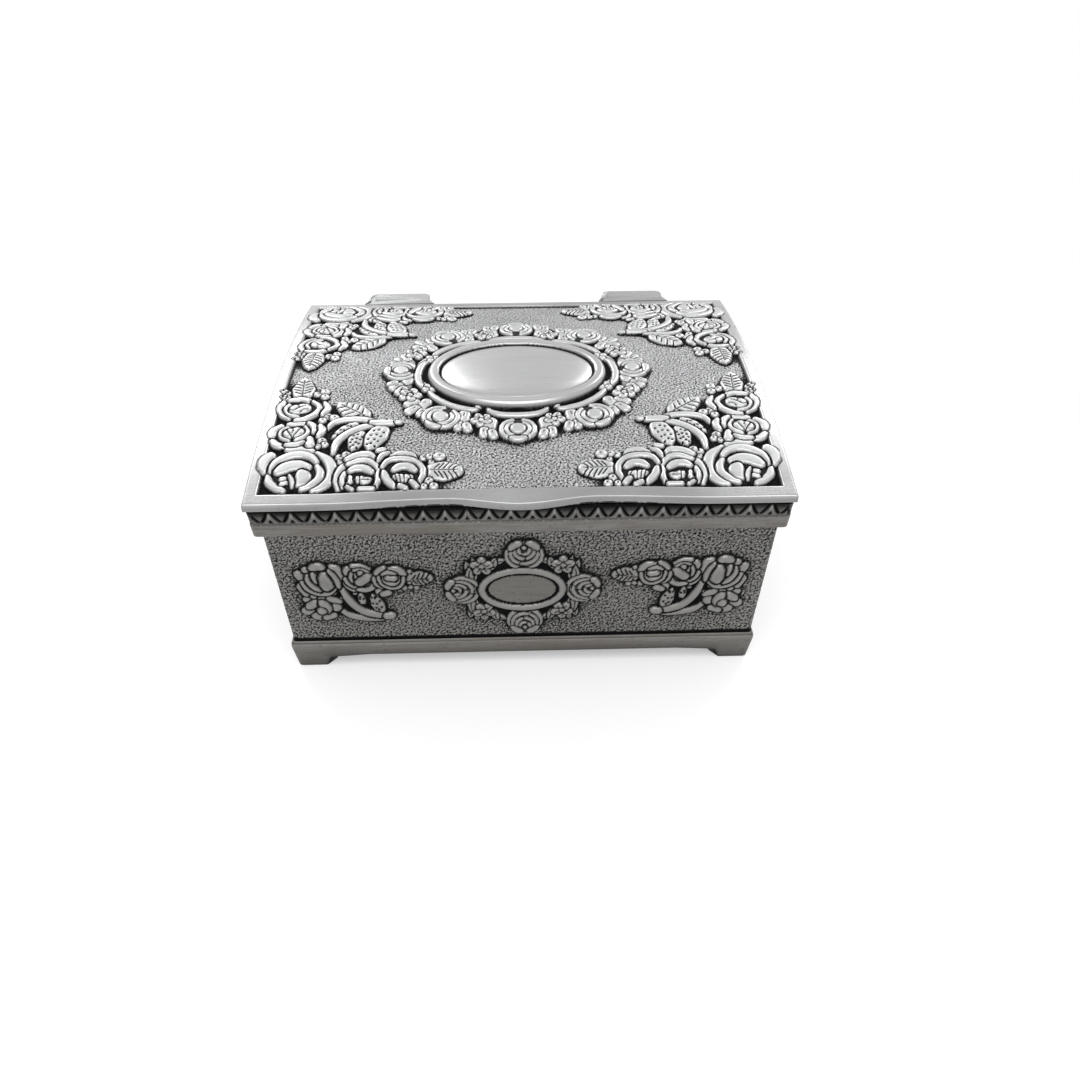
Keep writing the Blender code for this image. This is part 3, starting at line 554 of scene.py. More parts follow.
SPRAY_CUTS = [
    # folds in the hearts of the roses: half width, depth, then the places along the line
    (0.24, 0.4, -54.0, -23.6, -53.0, -25.2, -52.2, -26.6),
    (0.24, 0.4, -50.6, -22.8, -51.2, -24.4, -52.2, -26.4),
    (0.2, 0.35, -52.6, -22.8, -52.3, -24.2, -52.4, -25.2),
    (0.24, 0.4, -54.6, -15.6, -53.4, -16.0, -52.3, -14.8, -50.8, -14.1),
    (0.22, 0.35, -52.8, -13.2, -52.4, -14.6), (0.2, 0.3, -52.0, -16.9, -51.2, -15.8, -50.2, -15.6),
    (0.24, 0.6, -36.5, -39.9, -36.4, -41.9), (0.22, 0.6, -35.5, -39.8, -35.3, -42.4),
    (0.22, 0.55, -34.9, -40.7, -33.5, -40.3, -32.7, -40.5),
    (0.22, 0.55, -35.0, -41.5, -33.6, -41.3, -32.6, -41.6), (0.22, 0.6, -27.9, -39.5, -27.2, -41.6),
    (0.22, 0.6, -26.9, -39.4, -26.4, -42.0), (0.2, 0.55, -25.8, -39.3, -25.6, -42.0),
    (0.22, 0.6, -24.9, -39.4, -24.0, -41.4),
]
SPRAY_LEAVES = [
    # base, tip, half width, side veins, pairs of dots
    ((-52.4, -9.9), (-53.0, -0.9), 2.6, 5, 0), ((-36.4, -18.4), (-43.4, -12.9), 2.8, 4, 0),
    ((-38.2, -21.6), (-43.3, -26.6), 1.5, 0, 3), ((-36.9, -24.6), (-38.2, -31.3), 1.9, 0, 4),
    ((-31.9, -22.6), (-34.6, -31.2), 2.4, 0, 4), ((-20.2, -38.6), (-12.9, -38.7), 2.8, 5, 0),
    ((-55.9, -8.0), (-58.0, -6.6), 0.9, 2, 0), ((-55.6, -9.8), (-57.6, -9.6), 0.9, 2, 0),
]
SPRAY_BUDS = [
    # small knobs with a dot, some in threes
    (-48.9, -8.4, 1.0), (-47.2, -7.4, 1.1), (-47.0, -9.6, 1.0), (-45.3, -18.0, 1.1), (-43.6, -18.6, 1.1),
    (-46.3, -19.6, 0.9), (-45.4, -27.4, 1.0), (-44.6, -28.8, 0.9), (-46.2, -29.4, 0.8), (-40.6, -33.4, 1.0),
    (-39.3, -32.6, 1.0), (-40.4, -35.0, 0.7), (-21.9, -34.1, 0.8), (-20.4, -33.6, 0.9), (-18.3, -33.6, 1.3),
    (-20.0, -35.6, 0.7), (-20.4, -41.6, 1.0), (-21.4, -43.4, 0.9), (-19.1, -43.3, 1.0),
]
SPRAY_BEDS = [
    # middle and reach of the pad under each rose
    (-49.6, -38.4, 6.6, 5.6), (-36.0, -39.2, 4.4, 5.0), (-26.6, -39.0, 4.6, 5.2), (-52.2, -25.0, 4.6, 4.2),
    (-52.0, -15.2, 4.6, 4.2),
]
SPRAY_FRONT = 48.6 - LID_HALF_Y  # from the tables' places to the lid's, in front and behind
SPRAY_BACK = LID_HALF_Y - 47.6
PETAL_SWELL = 1.16  # petals spread until only a thin cut is left between them


def corner_sprays(relief):
    ends = ((1, SPRAY_FRONT), (-1, SPRAY_BACK))
    relief.mirrors = [(sign, sign_v, 0, shift) for sign_v, shift in ends for sign in (1, -1)]
    for u, v, half_u, half_v in SPRAY_BEDS:
        relief.bed(u, v, half_u, half_v, 0.65, 0.86)
    for base, tip, widest, veins, dots in SPRAY_LEAVES:
        leaf(relief, base, tip, widest * 1.1, 1.05, veins, dots)
    for u, v, radius in SPRAY_BUDS:
        relief.ball(u, v, radius * 1.1, 0.95)
        relief.pit(u + 0.15, v + 0.1, 0.34, 0.45)
    for half, height, *line in SPRAY_STROKES:
        relief.raise_stroke(line, half * PETAL_SWELL, height)
    for half, depth, *line in SPRAY_CUTS:
        relief.incise(line, half, depth)


# Lid wreath: one quarter, from the front round to the left side

WREATH_SCROLLS = [
    # places along each scroll
    (-6.8, -16.3, -6.6, -18.0, -4.0, -19.4, 0.0, -19.8, 4.0, -19.4, 6.6, -18.0, 6.8, -16.3),
    (-20.8, -8.2, -21.2, -9.7, -19.2, -12.6, -15.8, -15.4, -12.4, -16.9, -10.2, -17.3, -9.3, -16.0),
    (-22.0, -6.6, -23.9, -4.4, -24.7, 0.0, -24.3, 4.6, -22.5, 8.2),
]
WREATH_LOBES = [
    # rounded lobes of the leaves between the roses: half width and the ends of the middle line
    (1.3, -6.3, -22.3, -6.7, -24.4), (0.95, -7.9, -25.6, -8.0, -27.2), (0.95, -6.0, -26.4, -5.7, -27.7),
    (1.25, -12.6, -19.2, -12.9, -21.2), (0.95, -13.8, -23.2, -14.0, -24.4),
    (0.95, -12.0, -23.6, -11.7, -25.0), (1.2, -21.9, -13.8, -22.9, -15.2),
    (1.05, -24.6, -13.6, -26.2, -14.6), (1.05, -24.4, -16.4, -25.8, -17.6),
    (0.9, -22.6, -17.6, -23.2, -18.8), (1.15, -26.4, -2.4, -27.2, -4.4), (1.0, -29.2, -6.0, -30.4, -7.2),
    (1.0, -28.0, -7.6, -28.9, -9.2), (0.8, -30.2, -4.6, -31.4, -5.4),
]
WREATH_BEDS = [(-6.8, -24.8, 2.0), (-12.9, -22.0, 2.2), (-24.0, -15.8, 2.8), (-28.6, -5.8, 2.8)]
LOBE_SWELL = 1.24
BOSS_U = -0.4  # the plaque and its wreath sit a little left of the lid's middle
RING_OUTSIDE = (22.3, 17.0)
RING_INSIDE = (19.6, 13.9)
PLAQUE = (19.0, 13.3)


def wreath(relief):
    both = [(sign_u, sign_v, BOSS_U, 0) for sign_v in (1, -1) for sign_u in (1, -1)]
    relief.mirrors = both
    for u, v, half in WREATH_BEDS:
        relief.bed(u, v, half, half, 0.8, 0.5)
    for half, u, v, end_u, end_v in WREATH_LOBES:
        relief.raise_stroke((u, v, end_u, end_v), half * LOBE_SWELL, 1.1, groove=0.22)
        relief.incise((u, v, (u + end_u) / 2, (v + end_v) / 2), 0.18, 0.2)
    blossom(relief, -8.6, -21.6, 2.6, 1.2, turn=-100)
    blossom(relief, -26.0, -10.6, 2.9, 1.2, turn=-150)
    relief.mirrors = [both[0], both[2]]
    wreath_rose(relief, 0.0, -25.6, 4.4, -90)
    relief.mirrors = both[:2]
    wreath_rose(relief, -29.1, 0.9, 4.4, 180)
    relief.mirrors = both
    wreath_rose(relief, -18.2, -20.4, 4.5, -122)
    for line in WREATH_SCROLLS:
        relief.raise_stroke(line, 0.92, 1.15, groove=0.3)
        for u, v in (line[:2], line[-2:]):
            relief.ball(u, v, 0.95, 1.25)
    relief.mirrors = AS_DRAWN


def oval_boss(relief, u, v):
    """The ring, its groove and the domed plaque. Returns what is polished smooth."""
    x = np.abs(u - BOSS_U)
    y = np.abs(v)
    outer = oval_gap(x, y, *RING_OUTSIDE)
    inner = oval_gap(x, y, *RING_INSIDE)
    plaque = oval_gap(x, y, *PLAQUE)
    reach = np.clip(np.sqrt((x / PLAQUE[0]) ** 2 + (y / PLAQUE[1]) ** 2), 0, 1)
    crown = 1.8 * (1 - 0.25 * smooth_step(-1.1, -0.25, outer) ** 2) - 0.2 * smooth_step(0.7, 0.0, inner)
    level = LID_ARCH * (v / LID_HALF_Y) ** 2
    dome = 0.9 + 1.35 * np.sqrt(1 - reach**2.4)
    ring = (outer < 0.35) & (inner > 0)
    groove = (inner <= 0) & (plaque > 0)
    moat = (outer >= 0.1) & (outer < 0.55)
    rounding = smooth_step(0.35, -0.3, outer)
    edge_black = np.where(moat, 1.0, 0.9 * smooth_step(-0.25, 0.15, outer))
    relief.ink_and_shade = np.maximum(relief.ink_and_shade, smooth_step(2.1, 0.7, outer) * (relief.height < 0.1))
    relief.inlay(moat, np.minimum(relief.height, 0.05), 1.0)
    relief.inlay(ring, (crown + level) * rounding, edge_black)
    relief.inlay(groove, 0.75 + level, 1.0)
    relief.inlay(plaque <= 0, dome + level, 0.4 * smooth_step(-0.35, 0.0, plaque))
    return ((outer < 0.1) & ~groove).astype(float)


# Grain and patina


def blurred(field, sigma):
    """Gaussian blur, with sigma in grid steps."""
    reach = int(3 * sigma + 1)
    kernel = np.exp(-0.5 * (np.arange(-reach, reach + 1) / sigma) ** 2)
    kernel /= kernel.sum()
    wide = np.pad(field, reach, mode="edge")
    wide = sum(k * wide[i : i + field.shape[0]] for i, k in enumerate(kernel))
    return sum(k * wide[:, i : i + field.shape[1]] for i, k in enumerate(kernel))


def stipple(shape, pitch, seed):
    """Grains of about half a millimetre, with deviation one."""
    seeds = np.random.default_rng(seed).standard_normal(shape)
    grains = blurred(seeds, 0.11 / pitch) - blurred(seeds, 0.3 / pitch)
    return grains / grains.std()


def tarnish_and_shade_of(relief, height, ground, grains, tone, speckle):
    """How black each place is, patina and painted shade together: cuts black, tops bright, open ground
    speckled, and painted shade on the ground beside what stands.
    """
    near = blurred(height, 0.5 / relief.pitch) - height
    far = blurred(height, 1.5 / relief.pitch) - height
    stands = (height > 0.35).astype(float)
    beside = blurred(stands, 0.75 / relief.pitch)
    # painted shade: the ground darker up to about 2 mm round what stands
    wide_shade = blurred(stands, 2.0 / relief.pitch)
    # dark ring on the ground round what stands: patina in the corner, with painted shadow
    halo = np.maximum(smooth_step(0.08, 0.48, far), 0.9 * smooth_step(0.05, 0.34, beside)) * ground
    pits = smooth_step(0.75, 1.4, -grains)
    speckled = speckle * (0.8 * np.clip(-grains, -1.6, 0.8) + 2.8 * pits)
    open_ground = tone + 0.26 * smooth_step(0.03, 0.45, wide_shade) + speckled
    top = 0.27 - 0.26 * smooth_step(0.03, 0.22, -near) + 0.45 * smooth_step(0.02, 0.22, near)
    made = top * (1 - ground) + open_ground * ground
    shade = np.maximum(np.maximum(halo, 0.35 * smooth_step(0.2, 0.7, far)), relief.ink_and_shade)
    return np.clip(np.maximum(made, shade), 0, 1)


# Meshes


def grid_quads(rows, columns, closed=False):
    """Corner numbers of a grid's quads. A closed grid joins its last column to its first."""
    seams = columns if closed else columns - 1
    row, column = np.meshgrid(np.arange(rows - 1), np.arange(seams), indexing="ij")
    low = row * columns
    high = low + columns
    after = (column + 1) % columns
    return np.stack([low + column, low + after, high + after, high + column], -1).reshape(-1, 4)


def border(rows, columns):
    """Corner numbers round a grid's edge."""
    number = np.arange(rows * columns).reshape(rows, columns)
    return np.concatenate([number[0, :-1], number[:-1, -1], number[-1, :0:-1], number[:0:-1, 0]])


def belt(upper, lower):
    """Quads between two closed rings of corner numbers."""
    return np.stack([upper, lower, np.roll(lower, -1), np.roll(upper, -1)], -1)


def placed(name, data):
    obj = bpy.data.objects.new(name, data)
    bpy.context.scene.collection.objects.link(obj)
    return obj


def make_mesh(name, finish, points, quads, others=(), attributes=None):
    """An object from points in millimetres, quads and any larger faces."""
    mesh = bpy.data.meshes.new(name)
    points = np.asarray(points, float) * MM
    mesh.vertices.add(len(points))
    mesh.vertices.foreach_set("co", points.ravel())
    corners = np.concatenate([quads.ravel()] + [np.array(face) for face in others]).astype(np.int32)
    counts = np.concatenate([np.full(len(quads), 4), [len(face) for face in others]]).astype(np.int32)
    mesh.loops.add(len(corners))
    mesh.loops.foreach_set("vertex_index", corners)
    mesh.polygons.add(len(counts))
    mesh.polygons.foreach_set("loop_start", np.concatenate([[0], np.cumsum(counts)[:-1]]).astype(np.int32))
    mesh.update(calc_edges=True)
    mesh.validate()
    for label, values in (attributes or {}).items():
        layer = mesh.attributes.new(label, "FLOAT", "POINT")
        layer.data.foreach_set("value", np.asarray(values, np.float32))
    mesh.shade_smooth()
    mesh.materials.append(finish)
    return placed(name, mesh)


def lid_top_height(v):
    return LID_SEAT_Z + LID_EDGE + LID_ARCH * (1 - (v / LID_HALF_Y) ** 2)


def lip_reach(u):
    past = np.abs(u) - LIP_HALF_WIDTH
    recess = -LIP_RECESS * (1 + np.cos(np.pi * np.clip(past / RECESS_LENGTH, 0, 1))) / 2
    wave = (1 + np.cos(np.pi * np.clip(u / LIP_HALF_WIDTH, -1, 1))) / 2
    swell = wave * (LIP_REACH + LIP_RECESS) - LIP_RECESS
    return np.where(past >= 0, recess, swell)


def lid_skin(relief, u, v):
    """The lid's outer face: height over its arch, tarnish with painted shade and highlights, and brushed
    share.
    """
    corner_sprays(relief)
    wreath(relief)
    smooth = oval_boss(relief, u, v)
    rim_front = RIM_FRONT + 0.8 * smooth_step(45, 20, np.abs(u))
    from_ends = np.where(v < 0, LID_HALF_Y - rim_front + v, LID_HALF_Y - RIM_SIDE - v)
    field = np.minimum(LID_HALF_X - RIM_SIDE - np.abs(u), from_ends)
    inside = smooth_step(-0.3, 0.3, field)
    ground = inside * (relief.height < 0.12)
    grains = stipple(u.shape, LID_PITCH, LID_SEED)
    height = np.where(smooth > 0, relief.height, blurred(relief.height, 0.7))
    height = height + LID_GRAIN * np.clip(grains, -2.0, 1.6) * ground
    total = inside * height + (1 - inside) * np.maximum(FIELD_SINK, height) - FIELD_SINK
    # painted shade: the open ground slightly darker towards the front, its grains bolder there and fainter
    # behind
    bold = smooth_step(10, -40, v)
    ground_tone = 0.4 + 0.02 * bold
    speckle = 0.14 + 0.13 * bold
    tarnish = tarnish_and_shade_of(relief, total, ground, grains, ground_tone, speckle)
    tarnish = np.maximum(tarnish, CREVICE_PATINA_AND_SHADE_TONE * smooth_step(1.2, 0.1, field) * ground)
    bare_rim = (1 - inside) * (relief.height < 0.3)
    # painted light on the bare rim: long rims darker than the side rims, with painted highlights towards
    # their corners and middle
    long_rim = smooth_step(LID_HALF_Y - 6, LID_HALF_Y - 3, np.abs(v))
    painted_highlight = 0.22 * smooth_step(30, 56, np.abs(u)) + 0.06 * smooth_step(14, 2, np.abs(u))
    rim_tone = np.maximum(0.3 + long_rim * (0.12 - painted_highlight), 0.85 * relief.ink_and_shade * (field > -1.6))
    tarnish = np.where(bare_rim > 0.5, rim_tone, tarnish)
    tarnish = np.where(smooth > 0, np.maximum(PLAQUE_TONE, relief.ink_and_shade), tarnish)
    edge = np.minimum(LID_HALF_X - np.abs(u), LID_HALF_Y - np.abs(v))
    total = total - 0.28 * (1 - np.sqrt(1 - np.clip(1 - edge / 0.5, 0, 1) ** 2))
    return total, tarnish, np.maximum(bare_rim * 0.5, smooth * 0.42)


def make_lid(metal):
    """The arched lid: relief on top, an edge, a flat seat and a hollow underside."""
    columns = int(2 * LID_HALF_X / LID_PITCH) + 1
    rows = int(2 * LID_HALF_Y / LID_PITCH) + 1
    us = np.linspace(-LID_HALF_X, LID_HALF_X, columns)
    relief = Relief(us, np.linspace(-LID_HALF_Y, LID_HALF_Y, rows))
    u, v = np.meshgrid(relief.us, relief.vs)
    total, tarnish, brushed = lid_skin(relief, u, v)
    front = smooth_step(-LID_HALF_Y + RIM_FRONT + 0.4, -LID_HALF_Y, v)
    y = v - lip_reach(u) * front
    top = np.stack([u, y + MIDDLE_Y, lid_top_height(v) + total], -1).reshape(-1, 3)
    loop = border(rows, columns)
    rim_x, rim_y, _ = top[loop].T
    plan_u = u.ravel()[loop]
    plan_v = v.ravel()[loop]
    inner_x = plan_u * (LID_HALF_X - LID_SEAT) / LID_HALF_X
    inner_v = plan_v * (LID_HALF_Y - LID_SEAT) / LID_HALF_Y
    drawn_x = rim_x * (1 - LID_FOOT_ROUND / LID_HALF_X)
    drawn_y = rim_y + LID_FOOT_ROUND * -np.sign(plan_v) * (np.abs(plan_v) > LID_HALF_Y - 0.1)
    ceiling = lid_top_height(inner_v) - FIELD_SINK - LID_PLATE
    points = [top]
    for x, y, z in (
        (rim_x, rim_y, LID_SEAT_Z + 0.9),
        (rim_x, rim_y, LID_SEAT_Z + LID_FOOT_ROUND),
        (drawn_x, drawn_y, LID_SEAT_Z),
        (inner_x, inner_v + MIDDLE_Y, LID_SEAT_Z),
        (inner_x, inner_v + MIDDLE_Y, ceiling),
    ):
        points.append(np.stack([x, y, np.broadcast_to(z, x.shape)], -1))
    loops = [loop] + [len(top) + count * len(loop) + np.arange(len(loop)) for count in range(5)]
    quads = [grid_quads(rows, columns)]
    for upper, lower in zip(loops, loops[1:]):
        quads.append(belt(upper, lower))
    last = loops[-1]
    across = columns - 1
    up = rows - 1
    right = last[across : across + up + 1]
    left = np.concatenate([last[:1], last[: 2 * across + up - 1 : -1]])
    quads.append(np.stack([left[1:-2], right[1:-2], right[2:-1], left[2:-1]], -1)[:, ::-1])
    front_face = np.concatenate([last[: across + 1], right[1:2], left[1:2]])[::-1]
    back_face = np.concatenate([last[across + up : 2 * across + up + 1], left[-2:-1], right[-2:-1]])[::-1]
    plain = np.ones(5 * len(loop))
    attributes = {
        "tarnish": np.concatenate([tarnish.ravel(), LID_EDGE_SHADE_TONE * plain]),
        "brushed": np.concatenate([brushed.ravel(), plain]),
    }
    faces = [front_face, back_face]
    obj = make_mesh("lid_relief_casting", metal, np.vstack(points), np.concatenate(quads), faces, attributes)
    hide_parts("lid_casting")
    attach(obj, "lid")


# Wall ornament, with places given across from a wall's middle and up from the table

FRONT_SPRAY = [
    # rows as for the lid; stems and their cut end
    (0.75, 0.8, -43.3, 19.2, -41.3, 17.4, -38.4, 16.5, -35.0, 16.3, -32.2, 16.5),
    (0.85, 0.95, -42.0, 25.9, -41.2, 23.2, -39.8, 20.6, -37.7, 18.6, -34.6, 17.5, -31.8, 17.1),
    (0.9, 0.95, -32.6, 17.0, -31.6, 17.1),
    # largest rose
    (0.9, 0.8, -51.2, 30.9, -50.7, 29.6), (0.75, 0.8, -49.4, 32.2),
    (0.9, 0.9, -47.9, 32.8, -46.5, 33.2, -45.4, 32.9), (0.95, 0.75, -51.2, 26.9, -50.4, 24.9),
    (0.75, 0.8, -49.2, 23.9, -46.8, 23.9, -44.2, 24.8),
    (0.75, 0.95, -50.7, 28.6, -49.7, 26.5, -47.7, 25.1, -45.4, 25.0, -43.8, 26.1),
    (0.62, 1.05, -49.2, 30.6, -49.2, 28.8, -48.2, 26.9, -46.9, 26.0),
    (0.65, 1.1, -47.9, 31.2, -47.6, 29.6, -47.2, 28.4), (1.45, 1.15, -45.3, 30.5, -45.1, 28.6, -45.4, 26.9),
    # ruffles between the first and second rose
    (0.75, 0.85, -43.5, 33.2, -42.2, 32.5, -41.8, 30.8, -41.9, 29.3),
    (0.62, 0.9, -44.1, 31.9, -43.2, 30.4, -42.7, 28.6, -42.6, 26.8),
    # second rose
    (0.62, 0.8, -40.3, 30.8, -40.1, 32.2, -39.2, 32.6), (0.72, 0.85, -38.6, 33.3, -36.9, 32.9, -35.1, 32.1),
    (0.62, 0.8, -41.1, 27.8, -39.8, 26.2, -38.2, 25.6), (0.55, 0.9, -40.8, 29.4, -40.0, 27.8, -38.4, 26.6),
    (0.62, 0.85, -38.2, 25.9, -36.4, 25.7, -34.9, 26.4, -34.4, 27.5),
    (0.52, 0.95, -38.9, 31.4, -39.3, 29.6, -38.6, 27.8), (0.45, 0.9, -38.4, 32.0, -36.8, 32.2, -35.2, 31.4),
    (0.4, 1.0, -38.0, 30.8, -38.2, 29.4), (0.68, 1.05, -37.0, 31.1), (1.02, 1.1, -37.5, 28.3, -35.6, 29.8),
    # third rose
    (0.72, 0.85, -33.6, 30.8, -32.6, 31.6, -31.5, 32.5), (0.8, 0.85, -30.2, 32.0, -28.6, 31.8, -27.2, 30.4),
    (0.5, 0.95, -32.2, 30.6, -30.8, 31.2, -29.2, 30.8), (0.58, 0.8, -34.2, 29.4, -33.7, 27.5, -32.6, 26.3),
    (0.55, 0.9, -33.1, 29.6, -32.5, 27.7, -30.8, 26.4, -28.9, 26.6, -27.8, 27.9, -27.4, 29.5),
    (0.45, 1.0, -32.0, 29.6, -31.5, 28.2, -30.0, 27.5, -28.9, 28.3, -28.6, 29.5),
    (0.7, 1.1, -30.9, 29.5, -29.6, 29.3), (0.75, 0.75, -33.6, 25.0), (0.72, 0.75, -32.7, 24.1, -31.5, 24.5),
    # bud below the largest rose
    (0.7, 0.7, -50.9, 22.8, -50.3, 22.4), (0.55, 0.7, -47.6, 23.0, -46.6, 22.8),
    (0.8, 0.75, -45.3, 22.9, -43.6, 22.0), (1.1, 0.85, -44.4, 20.2), (1.0, 0.8, -51.5, 19.1, -50.9, 19.0),
    (0.95, 0.8, -49.5, 17.4, -48.5, 17.1), (0.75, 0.75, -47.2, 16.8, -45.4, 17.5),
    (0.95, 0.95, -50.7, 20.6, -49.5, 21.4, -48.3, 21.9),
    (1.05, 1.05, -47.4, 22.0, -46.6, 20.4, -46.8, 19.0), (1.0, 1.1, -47.8, 19.3),
]
FRONT_LEAVES = [
    ((-26.0, 28.8), (-20.7, 29.1), 2.2, 4, 0), ((-38.0, 24.3), (-37.7, 20.0), 0.9, 0, 2),
    ((-33.8, 18.4), (-35.3, 24.4), 1.6, 0, 3), ((-43.9, 22.2), (-42.2, 23.2), 0.6, 0, 0),
]
FRONT_BUDS = [
    (-27.5, 26.0, 0.72), (-26.1, 26.2, 0.6), (-24.7, 26.0, 0.7), (-25.9, 31.1, 0.6), (-26.2, 27.7, 0.55),
    (-39.3, 24.6, 0.6), (-34.0, 24.2, 0.55),
]
FRONT_BEDS = [(-46.9, 28.6, 4.4), (-37.6, 29.3, 3.6), (-30.4, 29.2, 3.4), (-47.8, 19.6, 3.0)]
FRONT_SWELL = 1.28
FRONT_RISE = 1.15


def wall_spray(relief, shift):
    """The spray on both sides of a wall's middle, moved in or out from the middle by a shift."""
    relief.mirrors = [(1, 1, shift, 0), (-1, 1, -shift, 0)]
    for u, v, half in FRONT_BEDS:
        relief.bed(u, v, half, half, 0.55, 0.66)
    for base, tip, widest, veins, dots in FRONT_LEAVES:
        leaf(relief, base, tip, widest, 0.85, veins, dots)
    for u, v, radius in FRONT_BUDS:
        relief.ball(u, v, radius, 0.75)
    for half, height, *line in FRONT_SPRAY:
        wide = half * FRONT_SWELL
        relief.raise_stroke(line, wide, height * FRONT_RISE, groove=0.42, square=2.4, foot=0.25)
    relief.mirrors = AS_DRAWN


CARTOUCHE_LEAVES = [
    # base, tip, half width; from the middle of the oval
    ((11.2, 3.6), (12.9, 9.0), 1.2), ((12.4, 2.0), (12.2, 7.4), 1.0), ((8.6, 7.6), (3.9, 9.6), 1.1),
    ((7.2, 6.8), (6.2, 9.9), 1.0), ((10.2, 5.6), (11.4, 10.2), 0.9),
]
CARTOUCHE_ROSES = [(0.4, 35.6, 4.6, 90), (0.4, 14.7, 4.5, -90), (-14.1, 25.0, 4.4, 180), (14.1, 25.0, 4.4, 0)]
CARTOUCHE_V = 24.8
FRAME_OUTSIDE = (10.35, 6.9)
FRAME_INSIDE = (8.6, 5.1)
FRAME_PLATE = (7.9, 4.45)


def cartouche(relief):
    """Oval frame with four roses and small flowers round it. Returns what is flat and brushed."""
    for sign in (-1, 1):
        for up, blossom_v in ((1, 32.4), (-1, 18.0)):
            for base, tip, widest in CARTOUCHE_LEAVES:
                start = (sign * base[0], CARTOUCHE_V + up * base[1])
                leaf(relief, start, (sign * tip[0], CARTOUCHE_V + up * tip[1]), widest, 0.8, veins=1)
            blossom(relief, sign * 9.3, blossom_v, 2.7, 0.95, turn=90 * up)
    for u, v, radius, towards in CARTOUCHE_ROSES:
        cabbage_rose(relief, u, v, radius, towards)
    u, v = np.meshgrid(relief.us, relief.vs)
    x = np.abs(u + 0.1)
    y = np.abs(v - CARTOUCHE_V)
    outer = oval_gap(x, y, *FRAME_OUTSIDE)
    inner = oval_gap(x, y, *FRAME_INSIDE)
    plate = oval_gap(x, y, *FRAME_PLATE)
    crown = 0.95 * (0.55 + 0.45 * np.sin(np.pi * np.clip(-outer / 1.9, 0, 1)) ** 0.6)
    relief.inlay((outer < 0) & (inner > 0), crown, 0.4 * smooth_step(-0.3, 0, outer))
    relief.inlay((inner <= 0) & (plate > 0), 0.02, 1.0)
    relief.inlay(plate <= 0, 0.45, 0.0)
    relief.inlay((outer >= 0) & (outer < 0.35), relief.height * 0.15, 1.0)
    return (plate <= 0).astype(float)


def side_flower(relief):
    """One rose between leaves, for the middle of the short walls."""
    for sign in (-1, 1):
        for base_v, tip_v in ((27.5, 31.6), (22.6, 18.8)):
            leaf(relief, (sign * 3.0, base_v), (sign * 8.2, tip_v), 1.5, 0.8, veins=3)
    for v in (33.0, 17.2):
        blossom(relief, 0.0, v, 2.2, 0.8)
    cabbage_rose(relief, 0.0, 25.1, 5.2, 90)


def moulding(along, up, pitch):
    """Carved upper moulding: hanging tongues between forked struts. Returns height and tarnish,
    with painted shade under the lid and a painted highlight on each strut.
    """
    cell = (along / pitch + 0.5) % 1 - 0.5
    across = np.abs(cell) * pitch
    tongue = across - 1.92 * np.clip((up - 0.6) / 2.8, 0, 1) ** 0.62
    line = np.exp(-((tongue / 0.44) ** 4)) * smooth_step(0.5, 0.75, up)
    from_strut = pitch / 2 - across
    notch_half = 0.55 * np.clip((1.75 - up) / 1.1, 0, 1)
    notch = smooth_step(0.08, -0.08, from_strut - notch_half) * smooth_step(0.5, 0.65, up)
    scallop = 0.32 + 0.14 * np.cos(2 * np.pi * along / (pitch / 4))
    edge = np.exp(-(((up - scallop) / 0.15) ** 2))
    inner_line = np.exp(-(((tongue + 0.62) / 0.14) ** 2)) * smooth_step(1.5, 2.2, up)
    body = 0.1 + 0.12 * np.sqrt(np.clip(-tongue, 0, 1.0))
    strut = 0.42 * smooth_step(0.05, 0.45, tongue)
    height = np.where(tongue < 0, body, strut) - 0.44 * line - 0.42 * notch - 0.14 * edge
    shade = 0.36 + 0.12 * smooth_step(0, -0.5, tongue)
    # painted highlight on the upper part of each strut
    shade = shade - 0.34 * smooth_step(0.55, 0.1, from_strut) * smooth_step(1.7, 2.8, up)
    # painted shade of the lid over the tongues' tops
    shade = shade + 0.26 * smooth_step(1.8, 3.3, up) * smooth_step(0.0, -0.5, tongue)
    tarnish = np.maximum(np.maximum(shade, line), np.maximum(notch, edge * 0.75))
    tarnish = np.maximum(tarnish, inner_line * 0.75)
    # painted shade under the lid along the moulding's top
    tarnish = np.maximum(tarnish, smooth_step(3.25, 3.6, up) * CREVICE_PATINA_AND_SHADE_TONE)
    return height, tarnish


def wall_inset(z):
    """The walls' outer face leans in towards its foot."""
    share = (z - WALL_FOOT_Z) / (SHELF_Z - WALL_FOOT_Z)
    return WALL_FOOT_INSET + share * (WALL_TOP_INSET - WALL_FOOT_INSET)


def band_inset(z):
    """How far the band above the walls lies inside the lid's outline."""
    return BAND_FOOT_INSET + (z - SHELF_Z) / BAND_HEIGHT * (TOOTH_FOOT_INSET - BAND_FOOT_INSET)


def tooth_inset(z):
    """The same for the carved moulding above the band."""
    share = (z - SHELF_Z - BAND_HEIGHT) / TOOTH_HEIGHT
    return TOOTH_FOOT_INSET + share * (MOULDING_TOP_INSET - TOOTH_FOOT_INSET)


PERIMETER_INSET = 3.1  # how far inside the lid's outline the places along the sides are counted


